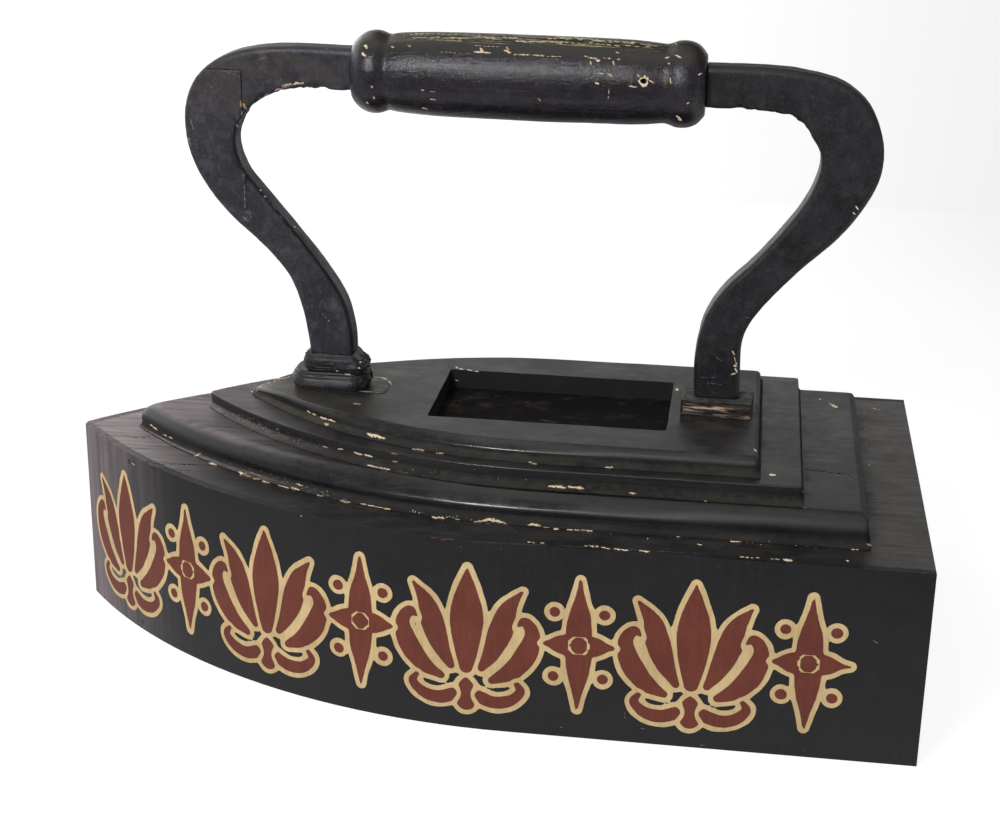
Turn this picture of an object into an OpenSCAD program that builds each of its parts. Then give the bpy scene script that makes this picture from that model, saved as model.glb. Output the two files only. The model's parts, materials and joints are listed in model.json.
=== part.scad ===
// Oversize flat-iron shop sign: a hollow pointed box, three stepped boards with
// moulded edges, and a turned grip carried on two sawn S-curve posts.
// Millimetres. +X runs from the toe to the heel, +Z is up, and the origin is the
// middle of the underside.

/* [Box] */
// Length from the toe to the heel
box_l = 600; // [560:5:640]
// Width across the straight sides
box_w = 321.8; // [300:0.1:340]
// Height of the box
box_h = 135; // [125:1:145]
// Where the straight sides turn into the arcs of the toe, from the middle
box_bend = 34; // [20:1:60]
// How far the two side arcs would run on past the blunt nose
nose_cut = 2.5; // [1:0.5:5]
// Thickness of the bent side skins
skin_t = 6; // [4:0.5:8]
// Thickness of the deck and the bottom board
board_t = 12; // [9:1:16]
// Thickness of the heel board and the ribs
rib_t = 16; // [12:1:20]

/* [Stepped boards] */
// Thickness of the lower board
lower_t = 19; // [16:0.5:22]
// Thickness of the middle board
middle_t = 11.5; // [10:0.5:14]
// Thickness of the upper board
upper_t = 11; // [10:0.5:14]
// Width of the lower board across its faces
lower_w = 251; // [240:1:260]
// Width of the middle board across its faces
middle_w = 218; // [205:1:225]
// Width of the upper board across its faces
upper_w = 185; // [175:1:195]
// Where the straight sides of the boards turn into arcs, from the middle
step_bend = 42; // [30:1:60]
// Radius of the lower board's rounded top edge, along its sides
lower_round = 12; // [8:0.5:13]
// The same across its heel
lower_heel_round = 6; // [3:0.5:9]
// Radius of the upper board's rounded top edge, along its sides
upper_round = 6.5; // [4:0.5:6.5]
// The same across its heel
upper_heel_round = 4; // [2:0.5:6]
// How far the cove at the foot of each board stands out from its sides
cove_out = 7; // [4:0.5:8]
// The same across the heel
heel_cove_out = 2; // [1:0.5:4]
// Height of the cove
cove_up = 3; // [2:0.5:4]
// Height of the square lip under the cove
lip = 1; // [0.5:0.25:2]

/* [Pocket] */
// Length of the pocket in the top
pocket_l = 163.5; // [140:0.5:170]
// Width of the pocket
pocket_w = 100; // [80:1:105]
// Depth of the pocket, through the upper board and into the middle one
pocket_d = 14; // [12:0.5:16]

/* [Posts] */
// Thickness of the board that the posts are sawn from
post_t = 22; // [20:0.5:24]
// Radius of the eased edges of the posts
post_round = 4; // [2:0.5:6]

/* [Grip] */
// Height of the grip's axis above the floor
grip_z = 401; // [395:1:405]
// Radius of the grip's barrel at its fullest
barrel_r = 28.3; // [26:0.1:30]
// Radius of the dowels that join the grip to the posts
dowel_r = 8; // [6:0.5:9]

/* [Fasteners] */
// Shank radius of the long screws that hold the posts
lag_r = 3.5; // [3:0.5:4]
// Shank radius of the wood screws
screw_r = 1.8; // [1.5:0.1:2.2]
// Shank radius of the nails in the side skins
nail_r = 0.9; // [0.7:0.1:1.2]

/* [Hidden] */
$fn = 96;

toe_x = -box_l / 2;
heel_x = box_l / 2;
lower_z = box_h;
middle_z = lower_z + lower_t;
upper_z = middle_z + middle_t;
top_z = upper_z + upper_t;

// Faces of the stepped boards: where each toe and each heel stands. The coves die
// away towards the toe, where they stand out only a little
lower_toe = -256.5;
middle_toe = -204.3;
upper_toe = -170.5;
toe_foot_out = 2;
lower_heel = 259.5;
middle_heel = 216.5;
upper_heel = 188;

// Worn nose of the upper board: where it starts to fall away, and how far at the tip
upper_wear = [-143.5, 7];

// The pocket's toe end, and the middle of its width, a little off the centre line
pocket_x = -37.3;
pocket_y = -1.3;

// Feet of the two posts, what they stand on, and the plate let in under the collar
toe_foot_x = -113;
heel_foot_x = 157.5;
collar_t = 13.25;
plate_t = 11;
collar_low_x = [-143, -88.4];
collar_low_y = [-18.5, 19];
collar_low_r = 14;
collar_up_x = [-133.5, -90.5];
collar_up_y = [-15, 14];
collar_up_r = 8;
// Layers of a collar pad: the part of its thickness left out at each face, and how
// far the layer is drawn in
pad_layers = [[0, 2.5], [0.12, 1], [0.28, 0]];
let_in_x = [-138, -74.5];
let_in_y = [-11.5, 15.5];
let_in_t = 4;
let_in_proud = 0.8;
collar_top = top_z + 2 * collar_t;

// Plate under the heel post: its front corner on the toe side, its size, and how far
// it is turned askew
heel_plate_at = [133.5, -17.4];
heel_plate_size = [48.1, 28.5];
heel_plate_turn = -3.8;
plate_top = top_z + plate_t;

// Grip: the ends of the turning, and the grooves inside its two beads
grip_toe = -96;
grip_heel = 139;
toe_groove = -71.5;
heel_groove = 112;
toe_dowel_in = 40;
heel_dowel_in = 55;
dowel_out = 30;
pin_x = 99;
pin_tilt = 12;
pin_r = 1.5;

// Ribs and blocks inside the box
rib_toe_x = -160;
rib_heel_x = 86;
block_w = 22;
toe_block_l = 60;

// Long screws: head, washer and how far they bite into a post
lag_head_r = 7.5;
lag_head_t = 5.5;
washer_r = 12;
washer_t = 2;
lag_bite = 34;
lag_tip_r = 0.5;
lag_sides = 36;

// Where the screws stand, as X and Y
deck_screw_at = [[-170, 0], [-70, -78], [-70, 78], [60, -92], [60, 92], [225, -92], [225, 92]];
step_screw_at = [[-85, -34], [-85, 34], [150, -60], [150, 60]];
bottom_screw_at = [
    [toe_x + 45, 0],
    [rib_toe_x + rib_t / 2, -60], [rib_toe_x + rib_t / 2, 60],
    [rib_heel_x + rib_t / 2, -110], [rib_heel_x + rib_t / 2, 110],
    [heel_x - rib_t / 2, -70], [heel_x - rib_t / 2, 70]
];

// Nails along the top and bottom edges of a side, and up its heel end
nail_l = 24;
nail_head_r = 1.9;
nail_head_t = 0.8;
nail_point = 3;
nail_edge = 6;
top_nail_x = [-250, -190, -125, -60, 3, 30, 98, 167, 232, 285];
bottom_nail_x = [-245, -170, -95, -20, 60, 145, 228, 287];
heel_nail_z = [38, 68, 98];

// Edges of the toe post as sawn, from the grip round to the foot:
// X and Z on the outside, then X and Z on the inside
toe_post_edges = [
    [-96, 416.8, -96, 389.4], [-136, 417.4, -133, 389.6], [-164, 415, -153, 384.5],
    [-187, 408, -166, 377], [-204.5, 394, -173.5, 367.5], [-213, 373, -178, 356.5],
    [-211.8, 347, -177.8, 345], [-202, 323.5, -171.5, 329.5], [-184, 300, -157, 312],
    [-159, 277.6, -136.5, 287.5], [-142.5, 258, -117.5, 263], [-134.5, 237, -104, 241],
    [-130.5, 218, -98.8, 220], [-128.5, collar_top, -97.5, collar_top]
];
// The same for the heel post
heel_post_edges = [
    [139, 415.1, 139, 388.2], [180, 415, 180, 387.4], [206, 412.5, 198, 383],
    [228, 406.5, 208.5, 373.5], [246, 392, 214.5, 364], [256, 368.5, 216.2, 356],
    [256, 348, 215.6, 347], [248, 327.5, 210.5, 332], [232, 304.5, 198.5, 312.5],
    [207.5, 280, 178, 286.5], [186, 255, 158.5, 265.5], [175, 237, 147, 246.5],
    [172.2, 222, 142, 225], [172.5, 205, 141, 205], [173, plate_top, 142, plate_top]
];
// The stepped seam between the toe post's arm and leg
seam_x = -172;
seam_z = 400;
seam_low = 358;

// Small numbers: overlap of cutting solids past a face, and steps on a curve
over = 1;
arc_steps = 6;
span_steps = 4;
corner_steps = 3;

black = [0.09, 0.09, 0.095];
worn_black = [0.13, 0.12, 0.115];
raw_wood = [0.62, 0.47, 0.31];
ply = [0.70, 0.56, 0.38];
steel = [0.62, 0.62, 0.60];

// Radius of a side arc that runs from the toe into a straight side
function arch_r(run, half) = (run * run + half * half) / (2 * half);

// Point at parameter t on a smooth curve through the listed points
function on_curve(p, t) =
    let (n = len(p), i = min(floor(t), n - 2), u = t - i,
         a = p[max(i - 1, 0)], b = p[i], c = p[i + 1], d = p[min(i + 2, n - 1)])
    (2 * b + (c - a) * u + (2 * a - 5 * b + 4 * c - d) * u * u
        + (3 * b - a - 3 * c + d) * u * u * u) / 2;

// Half outline of a side of an arch at x: the height above the centre line
function arch_y(x, half, toe, bend) =
    let (r = arch_r(bend - toe, half))
    x > bend ? half : half - r + sqrt(r * r - (x - bend) * (x - bend));

// Outline of a pointed arch, its toe on -X
module arch(half, toe, heel, bend) {
    run = bend - toe;
    r = arch_r(run, half);
    intersection() {
        translate([bend, half - r]) circle(r = r, $fn = 360);
        translate([bend, r - half]) circle(r = r, $fn = 360);
        translate([toe, -half]) square([run, 2 * half]);
    }
    translate([bend, -half]) square([heel - bend, 2 * half]);
}

// The box in plan, drawn in by a distance from its outer face
module box_plan(inset, heel) {
    half = box_w / 2 - inset;
    r_out = arch_r(box_bend - toe_x + nose_cut, box_w / 2);
    r_in = r_out - inset;
    rise = r_out - box_w / 2;
    toe = box_bend - sqrt(r_in * r_in - rise * rise);
    arch(half, toe, heel, box_bend);
}

// Keeps what stands on the heel side of the blunt nose
module blunt_nose() {
    intersection() {
        children();
        translate([toe_x, -box_w, -over]) cube([2 * box_l, 2 * box_w, box_h + 2 * over]);
    }
}

// Edge of a board as steps out and up from its foot: upright, then rounded over
function round_over(t, r) = r > 0
    ? concat([[0, 0]], [for (i = [0 : arc_steps]) let (a = 90 * i / arc_steps)
        [-r * (1 - cos(a)), t - r * (1 - sin(a))]])
    : [[0, 0], [0, t]];

// Edge of a board's foot: a square lip with a cove above it
function coved_foot(out) = concat([[0, 0]], [for (i = [0 : arc_steps]) let (a = 90 * i / arc_steps)
    [-out * sin(a), lip + cove_up * (1 - cos(a))]]);

// Section through a board from its middle out to its edge
module edge_section(reach, edge) {
    polygon(concat([[0, 0]], [for (p = edge) [reach + p[0], p[1]]],
        [[0, edge[len(edge) - 1][1]]]));
}

// A pointed board with a moulded edge: the edge runs round both side arcs, meets
// itself in a mitre at the toe, and meets the heel's edge at the two heel corners
module moulded_board(half, toe, heel, edge, heel_edge) {
    run = step_bend - toe;
    r = arch_r(run, half);
    t = edge[len(edge) - 1][1];
    intersection() {
        translate([step_bend, half - r, 0]) rotate_extrude($fn = 180) edge_section(r, edge);
        translate([step_bend, r - half, 0]) rotate_extrude($fn = 180) edge_section(r, edge);
        translate([toe - over, -half, 0]) cube([run + over, 2 * half, t]);
    }
    intersection() {
        translate([step_bend, 0, 0]) rotate([90, 0, 90]) linear_extrude(heel) {
            edge_section(half, edge);
            mirror([1, 0]) edge_section(half, edge);
        }
        translate([0, half, 0]) rotate([90, 0, 0])
            linear_extrude(2 * half) edge_section(heel, heel_edge);
    }
}

// A stepped board: the board itself, and the coved foot that stands out all round it
module stepped_board(half, toe, heel, t, round_r, heel_round_r) {
    moulded_board(half, toe, heel, round_over(t, round_r), round_over(t, heel_round_r));
    moulded_board(half + cove_out, toe - toe_foot_out, heel + heel_cove_out,
        coved_foot(cove_out), coved_foot(heel_cove_out));
}

// A countersunk screw, head down, its point up
module screw(length, shank) {
    head = 2 * shank;
    rotate_extrude($fn = 24)
        polygon([[0, 0], [head, 0], [shank, shank * 1.2], [shank, length - 2 * shank],
            [0, length]]);
}

module deck_screw_set() {
    for (p = deck_screw_at)
        translate([p[0], p[1], box_h - board_t]) screw(board_t + 15, screw_r);
}

module step_screw_set() {
    for (p = step_screw_at)
        translate([p[0], p[1], lower_z]) screw(lower_t + middle_t + 6, screw_r);
}

module bottom_screw_set() {
    for (p = bottom_screw_at)
        translate([p[0], p[1], 0]) screw(board_t + 25, screw_r);
}

// A nail driven inwards, its head at the origin and its point on +Y. As a cutter
// for its own hole it starts a little proud
module nail(proud) {
    rotate([-90, 0, 0]) rotate_extrude($fn = 16)
        polygon([[0, -proud], [nail_head_r, -proud], [nail_head_r, nail_head_t],
            [nail_r, nail_head_t], [nail_r, nail_l - nail_point], [0, nail_l]]);
}

// The nails of the front side, square to its face wherever they stand
module side_nail_set(proud = 0) {
    r = arch_r(box_bend - toe_x + nose_cut, box_w / 2);
    for (row = [[nail_edge, bottom_nail_x], [box_h - nail_edge, top_nail_x]], x = row[1]) {
        y = arch_y(x, box_w / 2, toe_x - nose_cut, box_bend);
        turn = x < box_bend ? asin((box_bend - x) / r) : 0;
        translate([x, -y, row[0]]) rotate([0, 0, -turn]) nail(proud);
    }
    for (z = heel_nail_z)
        translate([heel_x - rib_t / 2, -box_w / 2, z]) nail(proud);
}

module both_nail_sets() {
    side_nail_set();
    mirror([0, 1, 0]) side_nail_set();
}

module lag_point() {
    cylinder(h = lag_r, r1 = lag_r, r2 = lag_tip_r, $fn = lag_sides);
}

// A long screw from inside the box up into a post's foot
module lag_screw(x, foot_z) {
    tip = foot_z + lag_bite;
    seat = box_h - board_t - washer_t;
    translate([x, 0, seat]) cylinder(h = tip - seat - lag_r, r = lag_r, $fn = lag_sides);
    translate([x, 0, tip - lag_r]) lag_point();
    translate([x, 0, seat - lag_head_t]) cylinder(h = lag_head_t, r = lag_head_r, $fn = 6);
}

// The bores that the long screws pass through, from under the deck to the collar's top
module lag_bores() {
    for (x = [toe_foot_x, heel_foot_x])
        translate([x, 0, box_h - board_t - over])
            cylinder(h = collar_top - box_h + board_t + 2 * over, r = lag_r, $fn = lag_sides);
}

// Hole left by a long screw in a post, ending where the screw ends
module lag_hole(x, foot_z) {
    translate([x, 0, foot_z - over])
        cylinder(h = lag_bite + over - lag_r, r = lag_r, $fn = lag_sides);
    translate([x, 0, foot_z + lag_bite - lag_r]) lag_point();
}

module side_skin() {
    blunt_nose() difference() {
        linear_extrude(box_h) difference() {
            box_plan(0, heel_x);
            box_plan(skin_t, heel_x + over);
            translate([toe_x - over, 0]) square([box_l + 3 * over, box_w]);
        }
        side_nail_set(over);
    }
}

module side_front() {
    color(black) side_skin();
}

module side_back() {
    color(black) mirror([0, 1, 0]) side_skin();
}

// A slice of the box's inside, between the skins
module inside(x0, x1, z0, z1) {
    translate([0, 0, z0]) linear_extrude(z1 - z0) intersection() {
        box_plan(skin_t, heel_x + over);
        translate([x0, -box_w]) square([x1 - x0, 2 * box_w]);
    }
}

module deck_board() {
    color(black) difference() {
        inside(toe_x, heel_x, box_h - board_t, box_h);
        lag_bores();
        deck_screw_set();
        both_nail_sets();
    }
}

module bottom_board() {
    color(raw_wood) difference() {
        inside(toe_x, heel_x - rib_t, 0, board_t);
        bottom_screw_set();
        both_nail_sets();
    }
}

module heel_board() {
    color(black) difference() {
        inside(heel_x - rib_t, heel_x, 0, box_h - board_t);
        bottom_screw_set();
        both_nail_sets();
    }
}

module toe_block() {
    color(raw_wood) difference() {
        inside(toe_x, toe_x + toe_block_l, board_t, box_h - board_t);
        bottom_screw_set();
    }
}

module rib(x) {
    difference() {
        inside(x, x + rib_t, board_t, box_h - board_t);
        bottom_screw_set();
    }
}

module rib_toe() {
    color(raw_wood) rib(rib_toe_x);
}

module rib_heel() {
    color(raw_wood) rib(rib_heel_x);
}

module heel_corner_blocks() {
    inner = box_w / 2 - skin_t;
    color(raw_wood) for (y = [-inner, inner - block_w])
        translate([heel_x - rib_t - block_w, y, board_t])
            cube([block_w, block_w, box_h - 2 * board_t]);
}

module pocket() {
    translate([pocket_x, pocket_y - pocket_w / 2, top_z - pocket_d])
        cube([pocket_l, pocket_w, pocket_d + over]);
}

// What wear has taken off the top of a board's nose
module nose_wear(wear, toe, top) {
    translate([0, box_w, 0]) rotate([90, 0, 0]) linear_extrude(2 * box_w)
        polygon([[wear[0], top], [(wear[0] + toe) / 2, top - wear[1] / 3],
            [toe, top - wear[1]], [toe - over, top - wear[1]], [toe - over, top + over],
            [wear[0], top + over]]);
}

module step_lower() {
    color(black) difference() {
        translate([0, 0, lower_z])
            stepped_board(lower_w / 2, lower_toe, lower_heel, lower_t, lower_round,
                lower_heel_round);
        lag_bores();
        deck_screw_set();
        step_screw_set();
    }
}

module step_middle() {
    color(black) difference() {
        translate([0, 0, middle_z])
            stepped_board(middle_w / 2, middle_toe, middle_heel, middle_t, 0, 0);
        pocket();
        lag_bores();
        step_screw_set();
    }
}

// Thin plate let into the top under the toe post's collar, a little proud of it
module let_in_plate() {
    translate([let_in_x[0], let_in_y[0], top_z - let_in_t + let_in_proud])
        cube([let_in_x[1] - let_in_x[0], let_in_y[1] - let_in_y[0], let_in_t]);
}

module step_upper() {
    color(black) difference() {
        translate([0, 0, upper_z])
            stepped_board(upper_w / 2, upper_toe, upper_heel, upper_t, upper_round,
                upper_heel_round);
        nose_wear(upper_wear, upper_toe, top_z);
        pocket();
        lag_bores();
        step_screw_set();
        let_in_plate();
    }
}

module toe_foot_plate() {
    color(black) difference() {
        let_in_plate();
        lag_bores();
    }
}

// Plan of a collar pad drawn in by a distance, its two ends and its sides given
module pad_plan(ends, sides, corner, in) {
    hull() for (x = [ends[0] + corner, ends[1] - corner], y = [sides[0] + corner, sides[1] - corner])
        translate([x, y]) circle(r = corner - in, $fn = 32);
}

// A soft-edged collar pad, widest at its middle: layers drawn in towards its faces
module pad(ends, sides, corner, t) {
    for (layer = pad_layers)
        translate([0, 0, t * layer[0]]) linear_extrude(t * (1 - 2 * layer[0]))
            pad_plan(ends, sides, corner, layer[1]);
}

module toe_collar_lower() {
    color(black) difference() {
        translate([0, 0, top_z]) pad(collar_low_x, collar_low_y, collar_low_r, collar_t);
        lag_bores();
        let_in_plate();
    }
}

module toe_collar_upper() {
    color(black) difference() {
        translate([0, 0, top_z + collar_t]) pad(collar_up_x, collar_up_y, collar_up_r, collar_t);
        lag_bores();
    }
}

// Corner points of a post's rounded section: along its width, then across it
function section_ring(width) =
    let (w = width / 2 - post_round, h = post_t / 2 - post_round)
    [for (q = [[1, 1, 0], [-1, 1, 90], [-1, -1, 180], [1, -1, 270]])
        for (i = [0 : corner_steps]) let (a = q[2] + 90 * i / corner_steps)
            [q[0] * w + post_round * cos(a), q[1] * h + post_round * sin(a)]];

// One ring of points round a post, at a station on its two sawn edges
function post_ring(edges, t) =
    let (e = on_curve(edges, t), out = [e[0], e[1]], in = [e[2], e[3]],
         mid = (out + in) / 2, width = norm(out - in), dir = (out - in) / width)
    [for (s = section_ring(width)) [mid[0] + dir[0] * s[0], s[1], mid[1] + dir[1] * s[0]]];

// A post sawn to its two edge curves, with eased corners all along
module sawn_post(edges) {
    stations = (len(edges) - 1) * span_steps;
    ring = 4 * (corner_steps + 1);
    points = [for (k = [0 : stations]) each post_ring(edges, k / span_steps)];
    sides = [for (k = [0 : stations - 1], j = [0 : ring - 1])
        let (a = k * ring + j, b = k * ring + (j + 1) % ring)
        each [[a, a + ring, b + ring], [a, b + ring, b]]];
    first = [for (j = [0 : ring - 1]) j];
    last = [for (j = [ring - 1 : -1 : 0]) stations * ring + j];
    polyhedron(points, concat(sides, [first, last]), convexity = 6);
}

// The stepped lap at the top of the toe post: what belongs to the arm
module lap_cut() {
    translate([0, post_t, 0]) rotate([90, 0, 0]) linear_extrude(2 * post_t)
        polygon([[grip_toe + over, seam_low], [grip_toe + over, 430], [-220, 430],
            [-220, seam_z], [seam_x, seam_z], [seam_x, seam_low]]);
}

module dowel_bore(x0, x1) {
    translate([x0, 0, grip_z]) rotate([0, 90, 0]) cylinder(h = x1 - x0, r = dowel_r, $fn = 48);
}

module toe_post_leg() {
    color(black) difference() {
        sawn_post(toe_post_edges);
        lap_cut();
        lag_hole(toe_foot_x, collar_top);
    }
}

module toe_post_arm() {
    color(black) difference() {
        intersection() {
            sawn_post(toe_post_edges);
            lap_cut();
        }
        dowel_bore(grip_toe - dowel_out, grip_toe + over);
    }
}

module heel_foot_plate() {
    color(worn_black) difference() {
        translate([heel_plate_at[0], heel_plate_at[1], top_z]) rotate([0, 0, heel_plate_turn])
            cube([heel_plate_size[0], heel_plate_size[1], plate_t]);
        lag_bores();
    }
}

module heel_post() {
    color(black) difference() {
        sawn_post(heel_post_edges);
        dowel_bore(grip_heel - over, grip_heel + dowel_out);
        lag_hole(heel_foot_x, plate_top);
    }
}

// Radius of the turned grip: two beads, two grooves and a long swelling barrel
grip_turning = [
    [grip_toe, 20], [-93.5, 22.8], [-89.5, 25.8], [-84.5, 27.5], [-79, 27.6],
    [-74.5, 26.1], [toe_groove, 25.2], [-68, 25.9], [-60, 26.8], [-40, 27.8],
    [-10, 28.2], [30, barrel_r], [70, 28.1], [92, 27.5], [106, 26.3],
    [heel_groove, 25.7], [115.5, 26.4], [119.5, 27.9], [124, 28.4], [129, 27.8],
    [133.5, 25.8], [137, 22.3], [grip_heel, 19.5]
];

module pin(extra) {
    translate([pin_x, 0, grip_z]) rotate([-pin_tilt, 0, 0]) rotate([90, 0, 0])
        translate([0, 0, -dowel_r + 2]) cylinder(h = 25.5 + extra, r = pin_r, $fn = 24);
}

module grip() {
    turned = [for (k = [0 : 2 * (len(grip_turning) - 1)]) on_curve(grip_turning, k / 2)];
    color(black) difference() {
        rotate([0, 90, 0]) translate([-grip_z, 0, 0]) rotate_extrude($fn = 96)
            polygon(concat([[0, grip_toe]], [for (p = turned) [p[1], p[0]]],
                [[0, grip_heel]]));
        dowel_bore(grip_toe - over, grip_toe + toe_dowel_in);
        dowel_bore(grip_heel - heel_dowel_in, grip_heel + over);
        pin(10);
    }
}

module toe_dowel() {
    color(ply) dowel_bore(grip_toe - dowel_out, grip_toe + toe_dowel_in);
}

module heel_dowel() {
    color(ply) difference() {
        dowel_bore(grip_heel - heel_dowel_in, grip_heel + dowel_out);
        pin(10);
    }
}

module grip_pin() {
    color(steel) pin(0);
}

module toe_lag_screw() {
    color(steel) lag_screw(toe_foot_x, collar_top);
}

module heel_lag_screw() {
    color(steel) lag_screw(heel_foot_x, plate_top);
}

module lag_washers() {
    color(steel) for (x = [toe_foot_x, heel_foot_x])
        translate([x, 0, box_h - board_t - washer_t]) difference() {
            cylinder(h = washer_t, r = washer_r, $fn = 48);
            translate([0, 0, -over])
                cylinder(h = washer_t + 2 * over, r = lag_r, $fn = lag_sides);
        }
}

module deck_screws() {
    color(steel) deck_screw_set();
}

module step_screws() {
    color(steel) step_screw_set();
}

module bottom_screws() {
    color(steel) bottom_screw_set();
}

module front_nails() {
    color(steel) side_nail_set();
}

module back_nails() {
    color(steel) mirror([0, 1, 0]) side_nail_set();
}

side_front();
side_back();
heel_board();
deck_board();
bottom_board();
toe_block();
rib_toe();
rib_heel();
heel_corner_blocks();
step_lower();
step_middle();
step_upper();
toe_foot_plate();
toe_collar_lower();
toe_collar_upper();
toe_post_leg();
toe_post_arm();
heel_foot_plate();
heel_post();
grip();
toe_dowel();
heel_dowel();
grip_pin();
toe_lag_screw();
heel_lag_screw();
lag_washers();
deck_screws();
step_screws();
bottom_screws();
front_nails();
back_nails();
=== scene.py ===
"""Looks for the oversize flat-iron shop sign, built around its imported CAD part.

Metres, in the part's own frame: +X from the toe to the heel, -Y the painted side, +Z up.
"""

import json
import math
import random

import bmesh
import bpy
import numpy as np
from mathutils import Matrix, Vector
from mathutils.bvhtree import BVHTree

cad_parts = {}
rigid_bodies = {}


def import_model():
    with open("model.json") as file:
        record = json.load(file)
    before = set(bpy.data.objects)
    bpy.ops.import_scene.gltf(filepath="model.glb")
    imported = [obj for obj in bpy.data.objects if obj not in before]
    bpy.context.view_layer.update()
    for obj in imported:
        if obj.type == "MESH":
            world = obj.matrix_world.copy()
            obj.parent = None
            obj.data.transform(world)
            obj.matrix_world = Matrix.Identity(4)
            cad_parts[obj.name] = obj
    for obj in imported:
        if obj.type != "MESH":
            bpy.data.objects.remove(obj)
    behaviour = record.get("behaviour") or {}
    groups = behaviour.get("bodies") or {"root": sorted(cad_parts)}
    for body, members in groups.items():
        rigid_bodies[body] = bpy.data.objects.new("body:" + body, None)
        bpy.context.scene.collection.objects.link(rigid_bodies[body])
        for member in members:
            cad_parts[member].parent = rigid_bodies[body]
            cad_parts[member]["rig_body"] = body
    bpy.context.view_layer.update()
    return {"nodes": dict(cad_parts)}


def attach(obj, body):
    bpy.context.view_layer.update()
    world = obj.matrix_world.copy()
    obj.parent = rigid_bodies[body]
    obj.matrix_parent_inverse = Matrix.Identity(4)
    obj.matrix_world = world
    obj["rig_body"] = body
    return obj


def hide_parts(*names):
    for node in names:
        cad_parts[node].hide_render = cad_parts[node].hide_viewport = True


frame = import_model()
nodes = frame["nodes"]
scene = bpy.context.scene
MM = 0.001

# Camera, from a fit of the box's corners and edges
CAMERA_AT = (0.17026, -1.22653, 0.61823)
CAMERA_AZIMUTH = math.radians(-7.629)
CAMERA_TILT = math.radians(20.129)
CAMERA_ROLL = math.radians(0.983)
LENS_MM = 66.94
SENSOR_MM = 36.0


def make_camera():
    right = Vector((math.cos(CAMERA_AZIMUTH), -math.sin(CAMERA_AZIMUTH), 0.0))
    ahead = Vector((
        math.sin(CAMERA_AZIMUTH) * math.cos(CAMERA_TILT),
        math.cos(CAMERA_AZIMUTH) * math.cos(CAMERA_TILT),
        -math.sin(CAMERA_TILT),
    ))
    up = right.cross(ahead)
    turn = Matrix.Rotation(-CAMERA_ROLL, 3, ahead)
    axes = Matrix((turn @ right, turn @ up, -ahead)).transposed()
    camera = bpy.data.objects.new("camera", bpy.data.cameras.new("camera"))
    camera.data.sensor_fit = "HORIZONTAL"
    camera.data.sensor_width = SENSOR_MM
    camera.data.lens = LENS_MM
    camera.data.clip_end = 100.0
    camera.matrix_world = Matrix.Translation(CAMERA_AT) @ axes.to_4x4()
    scene.collection.objects.link(camera)
    scene.camera = camera


# Materials

BEVEL_SAMPLES = 6
ROUND = (1, 1, 1)
ALONG_X = (0.03, 1, 1)
ALONG_Z = (1, 1, 0.03)
SAWN = (0.5, 1, 0.3)


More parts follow.
